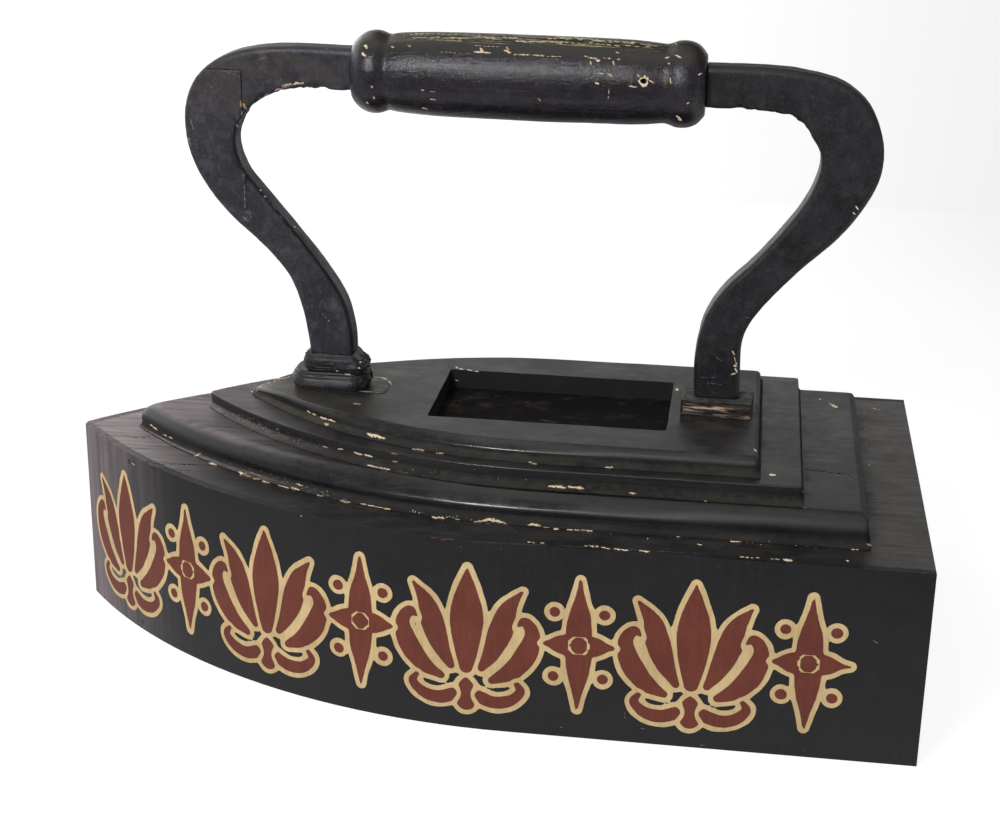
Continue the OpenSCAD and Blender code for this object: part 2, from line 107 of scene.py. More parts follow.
class Graph:
    """A material under construction. A value is a number, a tuple or another node's output."""

    def __init__(self, name):
        self.material = bpy.data.materials.new(name)
        self.material.use_nodes = True
        self.tree = self.material.node_tree
        self.tree.nodes.clear()
        self.place = self.add("ShaderNodeTexCoord").outputs["Object"]
        self.geometry = self.add("ShaderNodeNewGeometry")

    def add(self, kind, values=None, **settings):
        made = self.tree.nodes.new(kind)
        for key, value in settings.items():
            setattr(made, key, value)
        for key, value in (values or {}).items():
            self.put(made.inputs[key], value)
        return made

    def put(self, socket, value):
        if isinstance(value, bpy.types.NodeSocket):
            self.tree.links.new(value, socket)
            return
        if isinstance(value, tuple) and len(value) == 3 and socket.type == "RGBA":
            value = (*value, 1.0)
        socket.default_value = value

    def math(self, operation, a, b=0.0, clamp=False):
        made = self.add("ShaderNodeMath", {0: a, 1: b}, operation=operation)
        made.use_clamp = clamp
        return made.outputs[0]

    def noise(self, scale, stretch=ROUND, detail=3.0, rough=0.55, shift=0.0):
        """Noise of about scale cells to the metre, drawn out along an axis whose stretch is small."""
        place = self.add("ShaderNodeMapping", {
            "Vector": self.place,
            "Location": (shift, shift * 0.7, shift * 1.3),
            "Scale": tuple(scale * s for s in stretch),
        })
        return self.add("ShaderNodeTexNoise", {
            "Vector": place.outputs[0],
            "Scale": 1.0,
            "Detail": detail,
            "Roughness": rough,
        }).outputs["Fac"]

    def ramp(self, value, low, high, to_low=0.0, to_high=1.0):
        return self.add("ShaderNodeMapRange", {
            "Value": value,
            "From Min": low,
            "From Max": high,
            "To Min": to_low,
            "To Max": to_high,
        }, interpolation_type="SMOOTHSTEP").outputs[0]

    def mix(self, share, a, b):
        made = self.add("ShaderNodeMix", {0: share, 6: a, 7: b}, data_type="RGBA")
        return made.outputs[2]

    def times(self, first, *others):
        for other in others:
            first = self.math("MULTIPLY", first, other)
        return first

    def cover(self, colour, other, value, low, high, most=1.0):
        """A colour that another covers more and more where a value rises from low to high."""
        return self.mix(self.ramp(value, low, high, 0.0, most), colour, other)

    def bump(self, height, distance, strength=1.0, normal=None):
        values = {"Height": height, "Distance": distance, "Strength": strength}
        if normal is not None:
            values["Normal"] = normal
        return self.add("ShaderNodeBump", values).outputs[0]

    def axis(self, name):
        """The object coordinate along X, Y or Z, in metres."""
        return self.add("ShaderNodeSeparateXYZ", {0: self.place}).outputs[name]

    def facing(self, name="Z"):
        return self.add("ShaderNodeSeparateXYZ", {0: self.geometry.outputs["Normal"]}).outputs[name]

    def along(self, name, low, high, to_low=0.0, to_high=1.0):
        return self.ramp(self.axis(name), low, high, to_low, to_high)

    def upward(self, low, high, to_low=0.0, to_high=1.0):
        """A ramp of how far a face looks up, where 1 is level."""
        return self.ramp(self.facing(), low, high, to_low, to_high)

    def between(self, name, low, high, soft):
        """1 where a coordinate lies from low to high, with soft ends."""
        where = self.axis(name)
        up = self.ramp(where, low - soft, low + soft)
        down = self.ramp(where, high - soft, high + soft, 1.0, 0.0)
        return self.times(up, down)

    def soft_normal(self, radius):
        """The normal, turned smoothly over the edges that lie within a radius."""
        return self.add("ShaderNodeBevel", {"Radius": radius}, samples=BEVEL_SAMPLES).outputs[0]

    def arris(self, radius, low=0.02, high=0.22):
        """1 on the convex and hollow edges that lie within a radius."""
        ends = {0: self.soft_normal(radius), 1: self.geometry.outputs["Normal"]}
        dot = self.add("ShaderNodeVectorMath", ends, operation="DOT_PRODUCT").outputs["Value"]
        return self.ramp(self.math("SUBTRACT", 1.0, dot), low, high)

    def finish(self, colour, rough, normal, level=0.5, metallic=0.0):
        shader = self.add("ShaderNodeBsdfPrincipled", {
            "Base Color": colour,
            "Roughness": rough,
            "Normal": normal,
            "Specular IOR Level": level,
            "Metallic": metallic,
        })
        out = self.add("ShaderNodeOutputMaterial")
        self.tree.links.new(shader.outputs[0], out.inputs[0])
        return self.material


def shade(colour, share):
    return tuple(share * c for c in colour)


DUST = (0.085, 0.078, 0.068)
OLIVE = (0.034, 0.031, 0.021)
WORN = (0.11, 0.045, 0.028)
# Pale colours of the toe end: partly dust, partly a painted reflection of the bright left side
PALE_TOE_DUST_AND_SHEEN = (0.36, 0.30, 0.31)
DECK_TOE_DUST_AND_SHEEN = (0.56, 0.475, 0.485)
OLIVE_TOE_DUST_AND_SHEEN = (0.10, 0.086, 0.062)
CROWN_OLIVE = (0.026, 0.024, 0.016)
CROWN_PALE = (0.64, 0.53, 0.33)
SMUDGE = (0.17, 0.16, 0.165)
STAIN = (0.062, 0.049, 0.034)
# Painted shade for faces that look towards the heel
FLANK_PAINTED_SHADE = (0.006, 0.0057, 0.0058)
LIGHTER, DARKER = 2.6, 0.35
EDGE_WEAR = 1.1 * MM
NEARLY_LEVEL = (0.93, 0.995)
# Height of the dirt above a cove's foot, in millimetres, and how softly it ends
COVE_DIRT = (0.4, 4.4, 0.9)
# Patterns in old paint: cells to the metre, how it is drawn out along X, Y and Z (None: as the
# wood's grain), detail, roughness, and a shift that sets it apart from the others
PATTERNS = {
    "cloud": (22, ROUND, 4, 0.6, 0.0),
    "fine": (520, None, 4, 0.65, 3.1),
    "broad": (150, None, 3, 0.6, 7.7),
    "grit": (1000, ROUND, 3, 0.7, 4.9),
    "mottle": (105, ROUND, 6, 0.72, 14.1),
    "smudge": (62, (1, 1, 0.8), 8, 0.78, 11.3),
    "film": (34, (0.6, 1, 1), 7, 0.75, 1.9),
    "heel_dust": (90, (0.5, 1, 1), 7, 0.75, 15.7),
    "cove_dirt": (130, ROUND, 6, 0.7, 8.8),
    "toe_streak": (240, None, 4, 0.7, 6.7),
    "crown": (820, ALONG_X, 6, 0.78, 12.2),
    "stain": (60, (0.4, 1, 1), 7, 0.7, 19.3),
    "lines": (520, (0.02, 1, 1), 2, 0.55, 17.3),
    "wear": (75, ROUND, 5, 0.7, 5.3),
    "skin": (760, ROUND, 3, 0.6, 9.9),
}


def paint(name, grain, low, high, sheen=0.4, dust=0.35, wear=0.5, ridge=0.00022, level=0.5,
          smudge=0.0, speckle=0.4, blotch=0.35, pits=0.00007, cove=None, toe=(0.0, 0.0),
          toe_dust_and_sheen_span=(-0.305, -0.15), toe_dust_and_sheen_colour=PALE_TOE_DUST_AND_SHEEN, heel=None, crown=None, ease=0.8,
          grained=0.4, flat_rough=0.0, dirty=1.0, toe_cove_dust_and_sheen=0.4, lines=0.0, dull=0.0, heel_side_shade=0.0,
          soft_from=None, stain=0.0):
    """Old black paint over wood, from a low to a high colour in clouds.

    grain: how far the pattern is stretched along X, Y and Z. sheen: the roughness.
    dust, wear: how strong the dust on level faces and the wear on edges are.
    ridge, pits: depth of the grain and of the skin's pits, in metres. level: how glossy.
    grained, smudge, speckle, blotch: how strong the grain, pale rubs, fine grit and clouds are.
    cove: height in millimetres of a foot whose cove holds olive dirt. dirty: how much of it,
    and toe_cove_dust_and_sheen: how far the toe end's pale colour covers it at the toe.
    toe: how pale the toe end is, on upright and on level faces, over the X of toe_dust_and_sheen_span, in
    toe_dust_and_sheen_colour, which is partly dust and partly a painted reflection of the bright left
    side.
    dull: how matt it is there.
    heel: the X beyond which level faces are dusty. crown: the X from and to which a rounded
    top is rubbed through. ease: radius of the softened edges, in millimetres.
    flat_rough: how much rougher a level face is. soft_from: the X from which sloping faces
    lose their gloss. lines: how strong fine dark grain lines are on level faces.
    flank: how dark a face towards the heel is, a painted shade. stain: how strong the arm's brown patches
    are."""
    g = Graph(name)

    def pattern(kind):
        cells, stretch, detail, rough, shift = PATTERNS[kind]
        return g.noise(cells, stretch or grain, detail, rough, shift)

    up = g.upward(0.5, 0.97)
    cloud, fine, mottle = pattern("cloud"), pattern("fine"), pattern("mottle")
    lighter, darker = shade(high, LIGHTER), shade(low, DARKER)
    colour = g.cover(low, high, cloud, 0.3, 0.7)
    colour = g.cover(colour, lighter, mottle, 0.5, 0.68, blotch)
    colour = g.mix(g.ramp(mottle, 0.32, 0.5, blotch, 0.0), colour, darker)
    colour = g.cover(colour, lighter, fine, 0.5, 0.7, grained)
    colour = g.cover(colour, lighter, pattern("grit"), 0.52, 0.66, speckle)
    if smudge:
        rub = g.ramp(pattern("smudge"), 0.54, 0.72)
        colour = g.mix(g.times(rub, smudge), colour, SMUDGE)
    matt = g.times(up, g.ramp(pattern("film"), 0.36, 0.74), dust)
    colour = g.mix(matt, colour, DUST)
    if heel is not None:
        past = g.along("X", heel - 0.006, heel + 0.008)
        drift = g.ramp(pattern("heel_dust"), 0.25, 0.75, 0.3, 0.85)
        colour = g.mix(g.times(past, up, drift), colour, DUST)
    if cove is not None:
        bottom, top, soft = COVE_DIRT
        dirt = g.between("Z", (cove + bottom) * MM, (cove + top) * MM, soft * MM)
        matt = g.math("ADD", matt, dirt)
        patch = g.ramp(pattern("cove_dirt"), 0.4, 0.62)
        colour = g.mix(g.times(dirt, patch, dirty), colour, OLIVE)
    # Partly dust and partly a painted reflection: the toe end turns pale, most on level faces, as the
    # bright left side shows in the gloss there. bare is how far that pale colour covers, not bare wood.
    if max(toe):
        near = g.along("X", *toe_dust_and_sheen_span, 1.0, 0.0)
        streak = g.ramp(pattern("toe_streak"), 0.1, 0.75)
        bare = g.upward(0.62, 0.98, *toe)
        if cove is not None:
            bare = g.math("MAXIMUM", bare, g.times(dirt, toe_cove_dust_and_sheen))
        share = g.times(near, streak, bare)
        colour = g.mix(share, colour, toe_dust_and_sheen_colour)
        matt = g.math("ADD", matt, g.math("MAXIMUM", share, g.times(near, dull)))
    if crown:
        olive = g.times(g.upward(0.5, 0.72), 0.75)
        colour = g.mix(olive, colour, CROWN_OLIVE)
        top = g.times(g.upward(0.8, 0.93), g.between("X", *crown, 0.03))
        colour = g.mix(g.times(top, g.ramp(pattern("crown"), 0.545, 0.6)), colour, CROWN_PALE)
    if stain:
        high_up = g.along("Z", 0.362, 0.392)
        patch = g.ramp(pattern("stain"), 0.42, 0.62, 0.0, stain)
        colour = g.mix(g.times(high_up, patch), colour, STAIN)
    # Painted shade: faces that look towards the heel, away from the light, are darkened.
    if heel_side_shade:
        colour = g.cover(colour, FLANK_PAINTED_SHADE, g.facing("X"), 0.45, 0.8, heel_side_shade)
    if lines:
        thin = g.ramp(pattern("lines"), 0.34, 0.44, lines, 0.0)
        colour = g.mix(g.times(thin, up), colour, darker)
    patchy = g.ramp(pattern("wear"), 0.5, 0.66)
    colour = g.mix(g.times(g.arris(EDGE_WEAR), patchy, wear), colour, WORN)
    rough = sheen
    for value, share in ((cloud, 0.3), (fine, 0.25), (mottle, 0.3)):
        rough = g.math("ADD", rough, g.times(g.math("SUBTRACT", value, 0.5), share))
    rough = g.math("ADD", rough, g.times(g.math("MINIMUM", matt, 1.0), 0.3))
    if cove is not None:
        rough = g.math("ADD", rough, g.times(dirt, 0.35), clamp=True)
    if flat_rough:
        rough = g.math("ADD", rough, g.upward(*NEARLY_LEVEL, 0.0, flat_rough))
    if soft_from is not None:
        sloping = g.upward(*NEARLY_LEVEL, 0.24, 0.0)
        rough = g.math("ADD", rough, g.times(sloping, g.along("X", soft_from, soft_from + 0.055)))
    height = g.math("ADD", g.times(fine, 0.45), pattern("broad"))
    normal = g.bump(height, ridge, normal=g.soft_normal(ease * MM))
    normal = g.bump(pattern("skin"), pits, 0.9, normal)
    return g.finish(colour, rough, normal, level)


def wood(name, light, dark, grain, rough=0.7):
    g = Graph(name)
    rings = g.noise(260, grain, detail=5, rough=0.65)
    streak = g.noise(900, grain, detail=3, rough=0.6, shift=4.4)
    colour = g.cover(dark, light, rings, 0.3, 0.7)
    colour = g.cover(colour, shade(dark, 0.55), streak, 0.52, 0.75, 0.5)
    normal = g.bump(g.math("ADD", rings, streak), 0.0002)
    return g.finish(colour, g.ramp(streak, 0.2, 0.8, rough - 0.1, rough + 0.1), normal)


# Bare places of the split face: X from and to, Z from and to, in metres, and how much is bare
SPLITS = (
    (0.1355, 0.1500, 0.1795, 0.1846, 0.50),
    (0.1500, 0.1760, 0.1805, 0.1842, 0.42),
    (0.1560, 0.1815, 0.1768, 0.1786, 0.60),
)


def split_wood(name):
    """Black paint torn off the front face, where bare wood shows in long splinters."""
    g = Graph(name)
    streak = g.noise(600, (0.07, 1, 1), detail=5, rough=0.7)
    tone = g.noise(170, (0.2, 1, 1), detail=4, rough=0.6, shift=2.7)
    band = g.noise(330, (0.16, 1, 1.4), detail=5, rough=0.7, shift=6.6)
    colour = g.cover((0.012, 0.008, 0.008), (0.035, 0.018, 0.013), tone, 0.35, 0.65)
    bare = g.cover((0.3, 0.19, 0.11), (0.66, 0.53, 0.38), tone, 0.38, 0.6)
    front = g.ramp(g.facing("Y"), -0.75, -0.3, 1.0, 0.0)
    for x0, x1, z0, z1, share in SPLITS:
        where = g.times(g.between("X", x0, x1, 0.0012), g.between("Z", z0, z1, 0.0007))
        torn = g.ramp(band, 0.62 - 0.3 * share, 0.68 - 0.3 * share)
        colour = g.mix(g.times(where, torn, front), colour, bare)
    colour = g.cover(colour, (0.012, 0.008, 0.007), streak, 0.56, 0.7, 0.6)
    dusty = g.ramp(g.noise(210, detail=6, rough=0.7, shift=9.1), 0.35, 0.62)
    colour = g.mix(g.times(g.upward(0.6, 0.95), dusty), colour, (0.075, 0.082, 0.07))
    return g.finish(colour, g.ramp(streak, 0.2, 0.8, 0.5, 0.75), g.bump(streak, 0.0004))


def pocket_dark(name):
    """Rough dirty black inside the pocket, with brown dust in drifts on its floor, and painted light on
    its upright walls, which are a lighter grey.
    """
    g = Graph(name)
    drift = g.noise(70, (0.5, 1, 1), detail=7, rough=0.72)
    colour = g.cover((0.0085, 0.0072, 0.0075), (0.062, 0.05, 0.038), drift, 0.52, 0.74, 0.8)
    patch = g.noise(62, (0.55, 1, 1), detail=10, rough=0.88, shift=21.4)
    colour = g.cover(colour, (0.12, 0.098, 0.075), patch, 0.57, 0.65, 0.8)
    grit = g.noise(1300, detail=3, rough=0.7, shift=2.4)
    colour = g.cover(colour, (0.03, 0.027, 0.024), grit, 0.55, 0.75, 0.4)
    # Painted light: the upright walls are a lighter grey than the floor.
    wall = g.times(g.upward(0.3, 0.8, 1.0, 0.0), 0.75)
    colour = g.mix(wall, colour, (0.031, 0.0305, 0.0335))
    return g.finish(colour, 0.85, g.bump(g.math("ADD", drift, grit), 0.0006), level=0.1)


def metal(name, light, dark, rough=0.5):
    g = Graph(name)
    spots = g.noise(420, detail=5, rough=0.7)
    colour = g.cover(dark, light, spots, 0.35, 0.65)
    gloss = g.ramp(spots, 0.2, 0.8, rough - 0.12, rough + 0.18)
    return g.finish(colour, gloss, g.bump(spots, 0.00008), metallic=0.8)


SIDE_LOW, SIDE_HIGH = (0.0052, 0.0051, 0.0065), (0.010, 0.0098, 0.0115)
STEP_LOW, STEP_HIGH = (0.0055, 0.0052, 0.006), (0.011, 0.0104, 0.0112)
TOE_POST_LOW, TOE_POST_HIGH = (0.0142, 0.0130, 0.0178), (0.0325, 0.0295, 0.0385)
HEEL_POST_LOW, HEEL_POST_HIGH = (0.0088, 0.0081, 0.0102), (0.0205, 0.0187, 0.022)
COLLAR_LOW, COLLAR_HIGH = (0.0108, 0.0097, 0.0122), (0.0235, 0.0212, 0.0255)
GRIP_LOW, GRIP_HIGH = (0.0078, 0.0062, 0.0092), (0.0178, 0.0145, 0.0205)

# In these paints, toe lightens the toe end with dust and a painted reflection of the bright left side.
side_paint = paint("side_paint", ALONG_Z, SIDE_LOW, SIDE_HIGH, sheen=0.5, dust=0.3, wear=0.6,
                   level=0.31, toe=(0.8, 0.95), toe_dust_and_sheen_span=(-0.31, -0.2), speckle=0.3, blotch=0.2,
                   grained=0.2, ease=0.4)
nail_paint = paint("nail_paint", ALONG_Z, SIDE_LOW, SIDE_HIGH, sheen=0.5, wear=0.0, level=0.31, ease=0.4)
deck_paint = paint("deck_paint", ALONG_X, STEP_LOW, STEP_HIGH, sheen=0.42, dust=0.35, wear=0.3,
                   ridge=0.0003, toe=(0.3, 1.0), toe_dust_and_sheen_colour=DECK_TOE_DUST_AND_SHEEN, heel=0.262, lines=0.4,
                   blotch=0.3, level=0.4, ease=0.15)
low_paint, middle_paint, high_paint = (
    paint(f"{name}_step_paint", ALONG_X, STEP_LOW, STEP_HIGH, sheen=0.22, dust=dust, wear=0.25,
          ridge=0.00008, cove=cove, toe=toe, toe_dust_and_sheen_span=span, toe_dust_and_sheen_colour=toe_dust_and_sheen_colour, speckle=0.25,
          blotch=0.25, flat_rough=0.16, dirty=dirty, toe_cove_dust_and_sheen=toe_cove_dust_and_sheen, dull=0.8, soft_from=soft_from)
    for name, cove, soft_from, dirty, toe_cove_dust_and_sheen, dust, toe, span, toe_dust_and_sheen_colour in (
        ("low", 135.0, 0.055, 0.3, 0.04, 0.28, (0.0, 0.9), (-0.28, -0.07), PALE_TOE_DUST_AND_SHEEN),
        ("middle", 154.0, 0.0, 0.85, 0.75, 0.33, (0.0, 0.6), (-0.25, -0.08), PALE_TOE_DUST_AND_SHEEN),
        ("high", 165.5, 0.02, 0.85, 0.8, 0.5, (0.0, 0.9), (-0.21, -0.04), OLIVE_TOE_DUST_AND_SHEEN)))
# flank darkens the post's faces towards the heel: a painted shade.
toe_post_paint = paint("toe_post_paint", SAWN, TOE_POST_LOW, TOE_POST_HIGH, sheen=0.46, dust=0.5,
                       wear=0.25, level=0.4, smudge=0.42, speckle=0.45, blotch=0.5, pits=0.00012,
                       ease=0.5, heel_side_shade=0.9, grained=0.25, ridge=0.00012, stain=0.42)
heel_post_paint = paint("heel_post_paint", SAWN, HEEL_POST_LOW, HEEL_POST_HIGH, sheen=0.48, dust=0.25,
                        wear=0.25, level=0.35, smudge=0.18, speckle=0.5, blotch=0.4, pits=0.0001,
                        ease=0.35, grained=0.2, ridge=0.00012)
collar_paint = paint("collar_paint", (0.5, 0.5, 1), COLLAR_LOW, COLLAR_HIGH, sheen=0.44, dust=0.15,
                     wear=0.1, level=0.36, smudge=0.2, speckle=0.6, blotch=0.6, ridge=0.0001,
                     pits=0.0002, cove=176.5)
grip_paint = paint("grip_paint", ALONG_X, GRIP_LOW, GRIP_HIGH, sheen=0.2, dust=0.3, wear=0.2,
                   level=0.45, smudge=0.15, speckle=0.6, blotch=0.45, ridge=0.0003, pits=0.0004,
                   crown=(-0.055, 0.1))
pocket_paint = pocket_dark("pocket_paint")
split_paint = split_wood("split_paint")
raw_wood = wood("raw_wood", (0.42, 0.29, 0.17), (0.27, 0.17, 0.09), ALONG_X)
raw_wood_up = wood("raw_wood_up", (0.42, 0.29, 0.17), (0.27, 0.17, 0.09), ALONG_Z)
turned_wood = wood("turned_wood", (0.55, 0.4, 0.24), (0.4, 0.27, 0.15), ALONG_X)
dull_steel = metal("dull_steel", (0.35, 0.34, 0.32), (0.12, 0.075, 0.05))
rusty_steel = metal("rusty_steel", (0.15, 0.07, 0.035), (0.06, 0.025, 0.014), 0.8)


def sign_colour(name, high, low, worn_share):
    """Signwriter's paint, thin and brushed, worn through to the black in small flecks."""
    g = Graph(name)
    cloud = g.noise(30, detail=4, rough=0.6)
    brush = g.noise(420, (1, 1, 0.12), detail=4, rough=0.65, shift=2.2)
    tone = g.math("ADD", g.times(cloud, 0.6), g.times(brush, 0.4))
    colour = g.cover(low, high, tone, 0.36, 0.64)
    grime = g.ramp(g.noise(120, detail=6, rough=0.75, shift=6.1), 0.56, 0.78)
    colour = g.mix(g.times(grime, 0.45), colour, shade(low, 0.35))
    fleck = g.ramp(g.noise(260, (1, 1, 0.5), detail=6, rough=0.8, shift=8.3), 0.66, 0.72)
    colour = g.mix(g.times(fleck, worn_share), colour, (0.018, 0.016, 0.015))
    return g.finish(colour, g.ramp(cloud, 0.2, 0.8, 0.5, 0.65), g.bump(brush, 0.00012), level=0.22)


def bare_patch(name, light, dark, level=0.5):
    """Bare wood, dirt or rust in a worn place, and the white and grey of painted glints and highlights."""
    g = Graph(name)
    grain = g.noise(240, (0.25, 1, 1), detail=5, rough=0.7)
    spots = g.noise(900, detail=3, rough=0.7, shift=3.3)
    colour = g.cover(dark, light, grain, 0.36, 0.62)
    colour = g.cover(colour, shade(dark, 0.3), spots, 0.6, 0.78, 0.6)
    return g.finish(colour, g.ramp(spots, 0.2, 0.8, 0.6, 0.85), g.bump(grain, 0.0002), level)


red_paint = sign_colour("red_paint", (0.19, 0.05, 0.032), (0.14, 0.036, 0.024), 0.55)
cream_paint = sign_colour("cream_paint", (0.78, 0.59, 0.31), (0.62, 0.44, 0.22), 0.8)
chip_cream = bare_patch("chip_cream", (0.92, 0.84, 0.63), (0.72, 0.55, 0.33))
chip_tan = bare_patch("chip_tan", (0.5, 0.36, 0.2), (0.3, 0.19, 0.1))
rub_cream = bare_patch("rub_cream", (0.74, 0.64, 0.42), (0.36, 0.28, 0.16))
chip_pink = bare_patch("chip_pink", (0.72, 0.56, 0.46), (0.42, 0.27, 0.19))
# White for specks, and for painted glints where the gloss catches the light
speck_white_and_glint = bare_patch("speck_white_and_glint", (0.9, 0.9, 0.88), (0.7, 0.7, 0.68))
chip_rim = bare_patch("chip_rim", (0.2, 0.1, 0.045), (0.08, 0.035, 0.016))
crack_dark = bare_patch("crack_dark", (0.006, 0.005, 0.004), (0.003, 0.002, 0.002), level=0.02)
# Pale grey for rubs, and for painted highlights along edges
rub_grey_and_highlight = bare_patch("rub_grey_and_highlight", (0.2, 0.185, 0.19), (0.1, 0.092, 0.097), level=0.2)
rub_red = bare_patch("rub_red", (0.16, 0.055, 0.038), (0.1, 0.035, 0.026), level=0.2)
rust_spot = bare_patch("rust_spot", (0.2, 0.055, 0.03), (0.09, 0.03, 0.02))


# The finish of each CAD node
NODE_MATERIALS = (
    (side_paint, "side_front side_back heel_board"),
    (nail_paint, "front_nails back_nails"),
    (deck_paint, "deck_board"),
    (low_paint, "step_lower"),
    (middle_paint, "step_middle"),
    (high_paint, "step_upper toe_foot_plate"),
    (collar_paint, "toe_collar_lower toe_collar_upper"),
    (toe_post_paint, "toe_post_leg toe_post_arm"),
    (heel_post_paint, "heel_post"),
    (grip_paint, "grip"),
    (split_paint, "heel_foot_plate"),
    (raw_wood, "bottom_board"),
    (raw_wood_up, "toe_block rib_toe rib_heel heel_corner_blocks"),
    (turned_wood, "toe_dowel heel_dowel"),
    (rusty_steel, "grip_pin"),
    (dull_steel, "toe_lag_screw heel_lag_screw lag_washers deck_screws step_screws bottom_screws"),
)
for material, names in NODE_MATERIALS:
    for name in names.split():
        slots = nodes[name].data.materials
        slots.clear()
        slots.append(material)


# Shapes


def lattice_noise(points, size, seed):
    """Smooth noise from -1 to 1 at an array of points, with cells of that size."""
    scaled = np.asarray(points, float) / size
    cell = np.floor(scaled).astype(np.int64)
    part = scaled - cell
    part = part * part * (3 - 2 * part)
    axes = scaled.shape[1]
    primes = (73856093, 19349663, 83492791)
    total = np.zeros(len(scaled))
    for corner in np.ndindex(*(2,) * axes):
        key = np.full(len(scaled), seed * 7919 + 12345, np.int64)
        weight = np.ones(len(scaled))
        for k in range(axes):
            key ^= (cell[:, k] + corner[k]) * primes[k]
            weight *= part[:, k] if corner[k] else 1 - part[:, k]
        key = ((key ^ (key >> 13)) * 1274126177) & 0x7FFFFFFF
        key = (key ^ (key >> 15)) & 0xFFFF
        total += weight * (key / 32767.5 - 1)
    return total


def layered(points, seed, *layers):
    """Noise in layers, each an amount and a cell size. The seed counts up from layer to layer."""
    total = np.zeros(len(points))
    for k, (amount, size) in enumerate(layers):
        total += amount * lattice_noise(points, size, seed + k)
    return total


def link(name, mesh, material):
    """A new piece that rides on the sign's one body."""
    mesh.materials.clear()
    mesh.materials.append(material)
    made = bpy.data.objects.new(name, mesh)
    scene.collection.objects.link(made)
    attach(made, "root")
    return made


def welded(mesh):
    """A copy of a mesh with its doubled points joined."""
    bm = bmesh.new()
    bm.from_mesh(mesh)
    bmesh.ops.remove_doubles(bm, verts=bm.verts, dist=1e-6)
    made = bpy.data.meshes.new(mesh.name + "_welded")
    bm.to_mesh(made)
    bm.free()
    return made


def reworked(name, node, voxel, shift, material):
    """A finer copy of a CAD node, in even small faces, whose points shift() moves.

    shift takes points and normals in millimetres and returns how far each point
    moves outwards, or a whole vector for each."""
    made = link(name, welded(nodes[node].data), material)
    even = made.modifiers.new("even", "REMESH")
    even.mode = "VOXEL"
    even.voxel_size = voxel * MM
    graph = bpy.context.evaluated_depsgraph_get()
    mesh = bpy.data.meshes.new_from_object(made.evaluated_get(graph))
    made.modifiers.clear()
    made.data = mesh
    count = len(mesh.vertices)
    points = np.zeros(count * 3)
    mesh.vertices.foreach_get("co", points)
    points = points.reshape(-1, 3) / MM
    normals = np.array([v.normal for v in mesh.vertices], float).reshape(-1, 3)
    move = shift(points, normals)
    if move.ndim == 1:
        move = normals * move[:, None]
    mesh.vertices.foreach_set("co", ((points + move) * MM).ravel())
    mesh.shade_smooth()
    mesh.update()
    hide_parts(node)
    return made


def smooth_step(value, low, high):
    share = np.clip((value - low) / (high - low), 0, 1)
    return share * share * (3 - 2 * share)


def hump(value, width, middle=0.0):
    """1 where a value is at the middle, and almost 0 from two widths away."""
    return np.exp(-(((value - middle) / width) ** 2))


# Height over which a post's underside turns ragged, and how softly the ragged stretch ends
RAGGED_Z = (352, 362)
RAGGED_END = 6


def post_shift(points, normals, seed, ragged_from, ragged_to):
    """Hand-sawn unevenness, and a ragged underside from one X to another."""
    move = layered(points, seed, (0.22, 24), (0.12, 7), (0.05, 2.4))
    low = smooth_step(-normals[:, 2], 0.15, 0.6) * smooth_step(points[:, 2], *RAGGED_Z)
    zone = smooth_step(points[:, 0], ragged_from - RAGGED_END, ragged_from + RAGGED_END)
    zone *= 1 - smooth_step(points[:, 0], ragged_to - RAGGED_END, ragged_to + RAGGED_END)
    bite = layered(points, seed + 3, (1.0, 6.5), (0.5, 2.6))
    return move + low * zone * (0.25 + 1.5 * np.minimum(bite, 0.35))


def segment_distance(flat, a, b):
    """Distance of 2-D points from a segment."""
    a = np.array(a, float)
    b = np.array(b, float)
    along = np.clip(((flat - a) @ (b - a)) / ((b - a) @ (b - a)), 0, 1)
    return np.linalg.norm(flat - a - along[:, None] * (b - a), axis=1)


# Paint run down the toe post, the bead that it ends in and a blob above it, as X and Z
RUN = [(-172.6, 341), (-171.9, 318), (-171.7, 303.5)]
BEAD = (-171.0, 299.6)
BLOB = (-175.4, 361.5)


def leg_shift(points, normals):
    """The toe post's leg, with the run, a bead that is a ring, and the blob on its front."""
    move = post_shift(points, normals, 11, -176, -90)
    front = smooth_step(-normals[:, 1], 0.35, 0.8)
    flat = points[:, [0, 2]]
    run = np.minimum(segment_distance(flat, RUN[0], RUN[1]), segment_distance(flat, RUN[1], RUN[2]))
    move += front * 0.75 * hump(run, 0.9)
    move += front * 1.15 * hump(np.linalg.norm(flat - np.array(BEAD), axis=1), 1.3, 2.2)
    return move + front * 1.2 * hump(np.linalg.norm(flat - np.array(BLOB), axis=1), 2.6)


# Levels of the creases in the collars' sides, and how far they fall for each millimetre of X
CREASES = (180.6, 185.4, 189.9, 193.8, 198.4)
CREASE_FALL = 0.05
COLLAR_X = -115
# From and to where a collar's crumpled heel side and its toe side begin
COLLAR_HEEL = (-103, -92)
COLLAR_TOE = (-142, -128)
# Height of the skirt at a lower collar's foot
SKIRT = 2.2
# Where the upper collar's rim curls up, in millimetres
CURL = (-132.0, -11.0, 203.0)


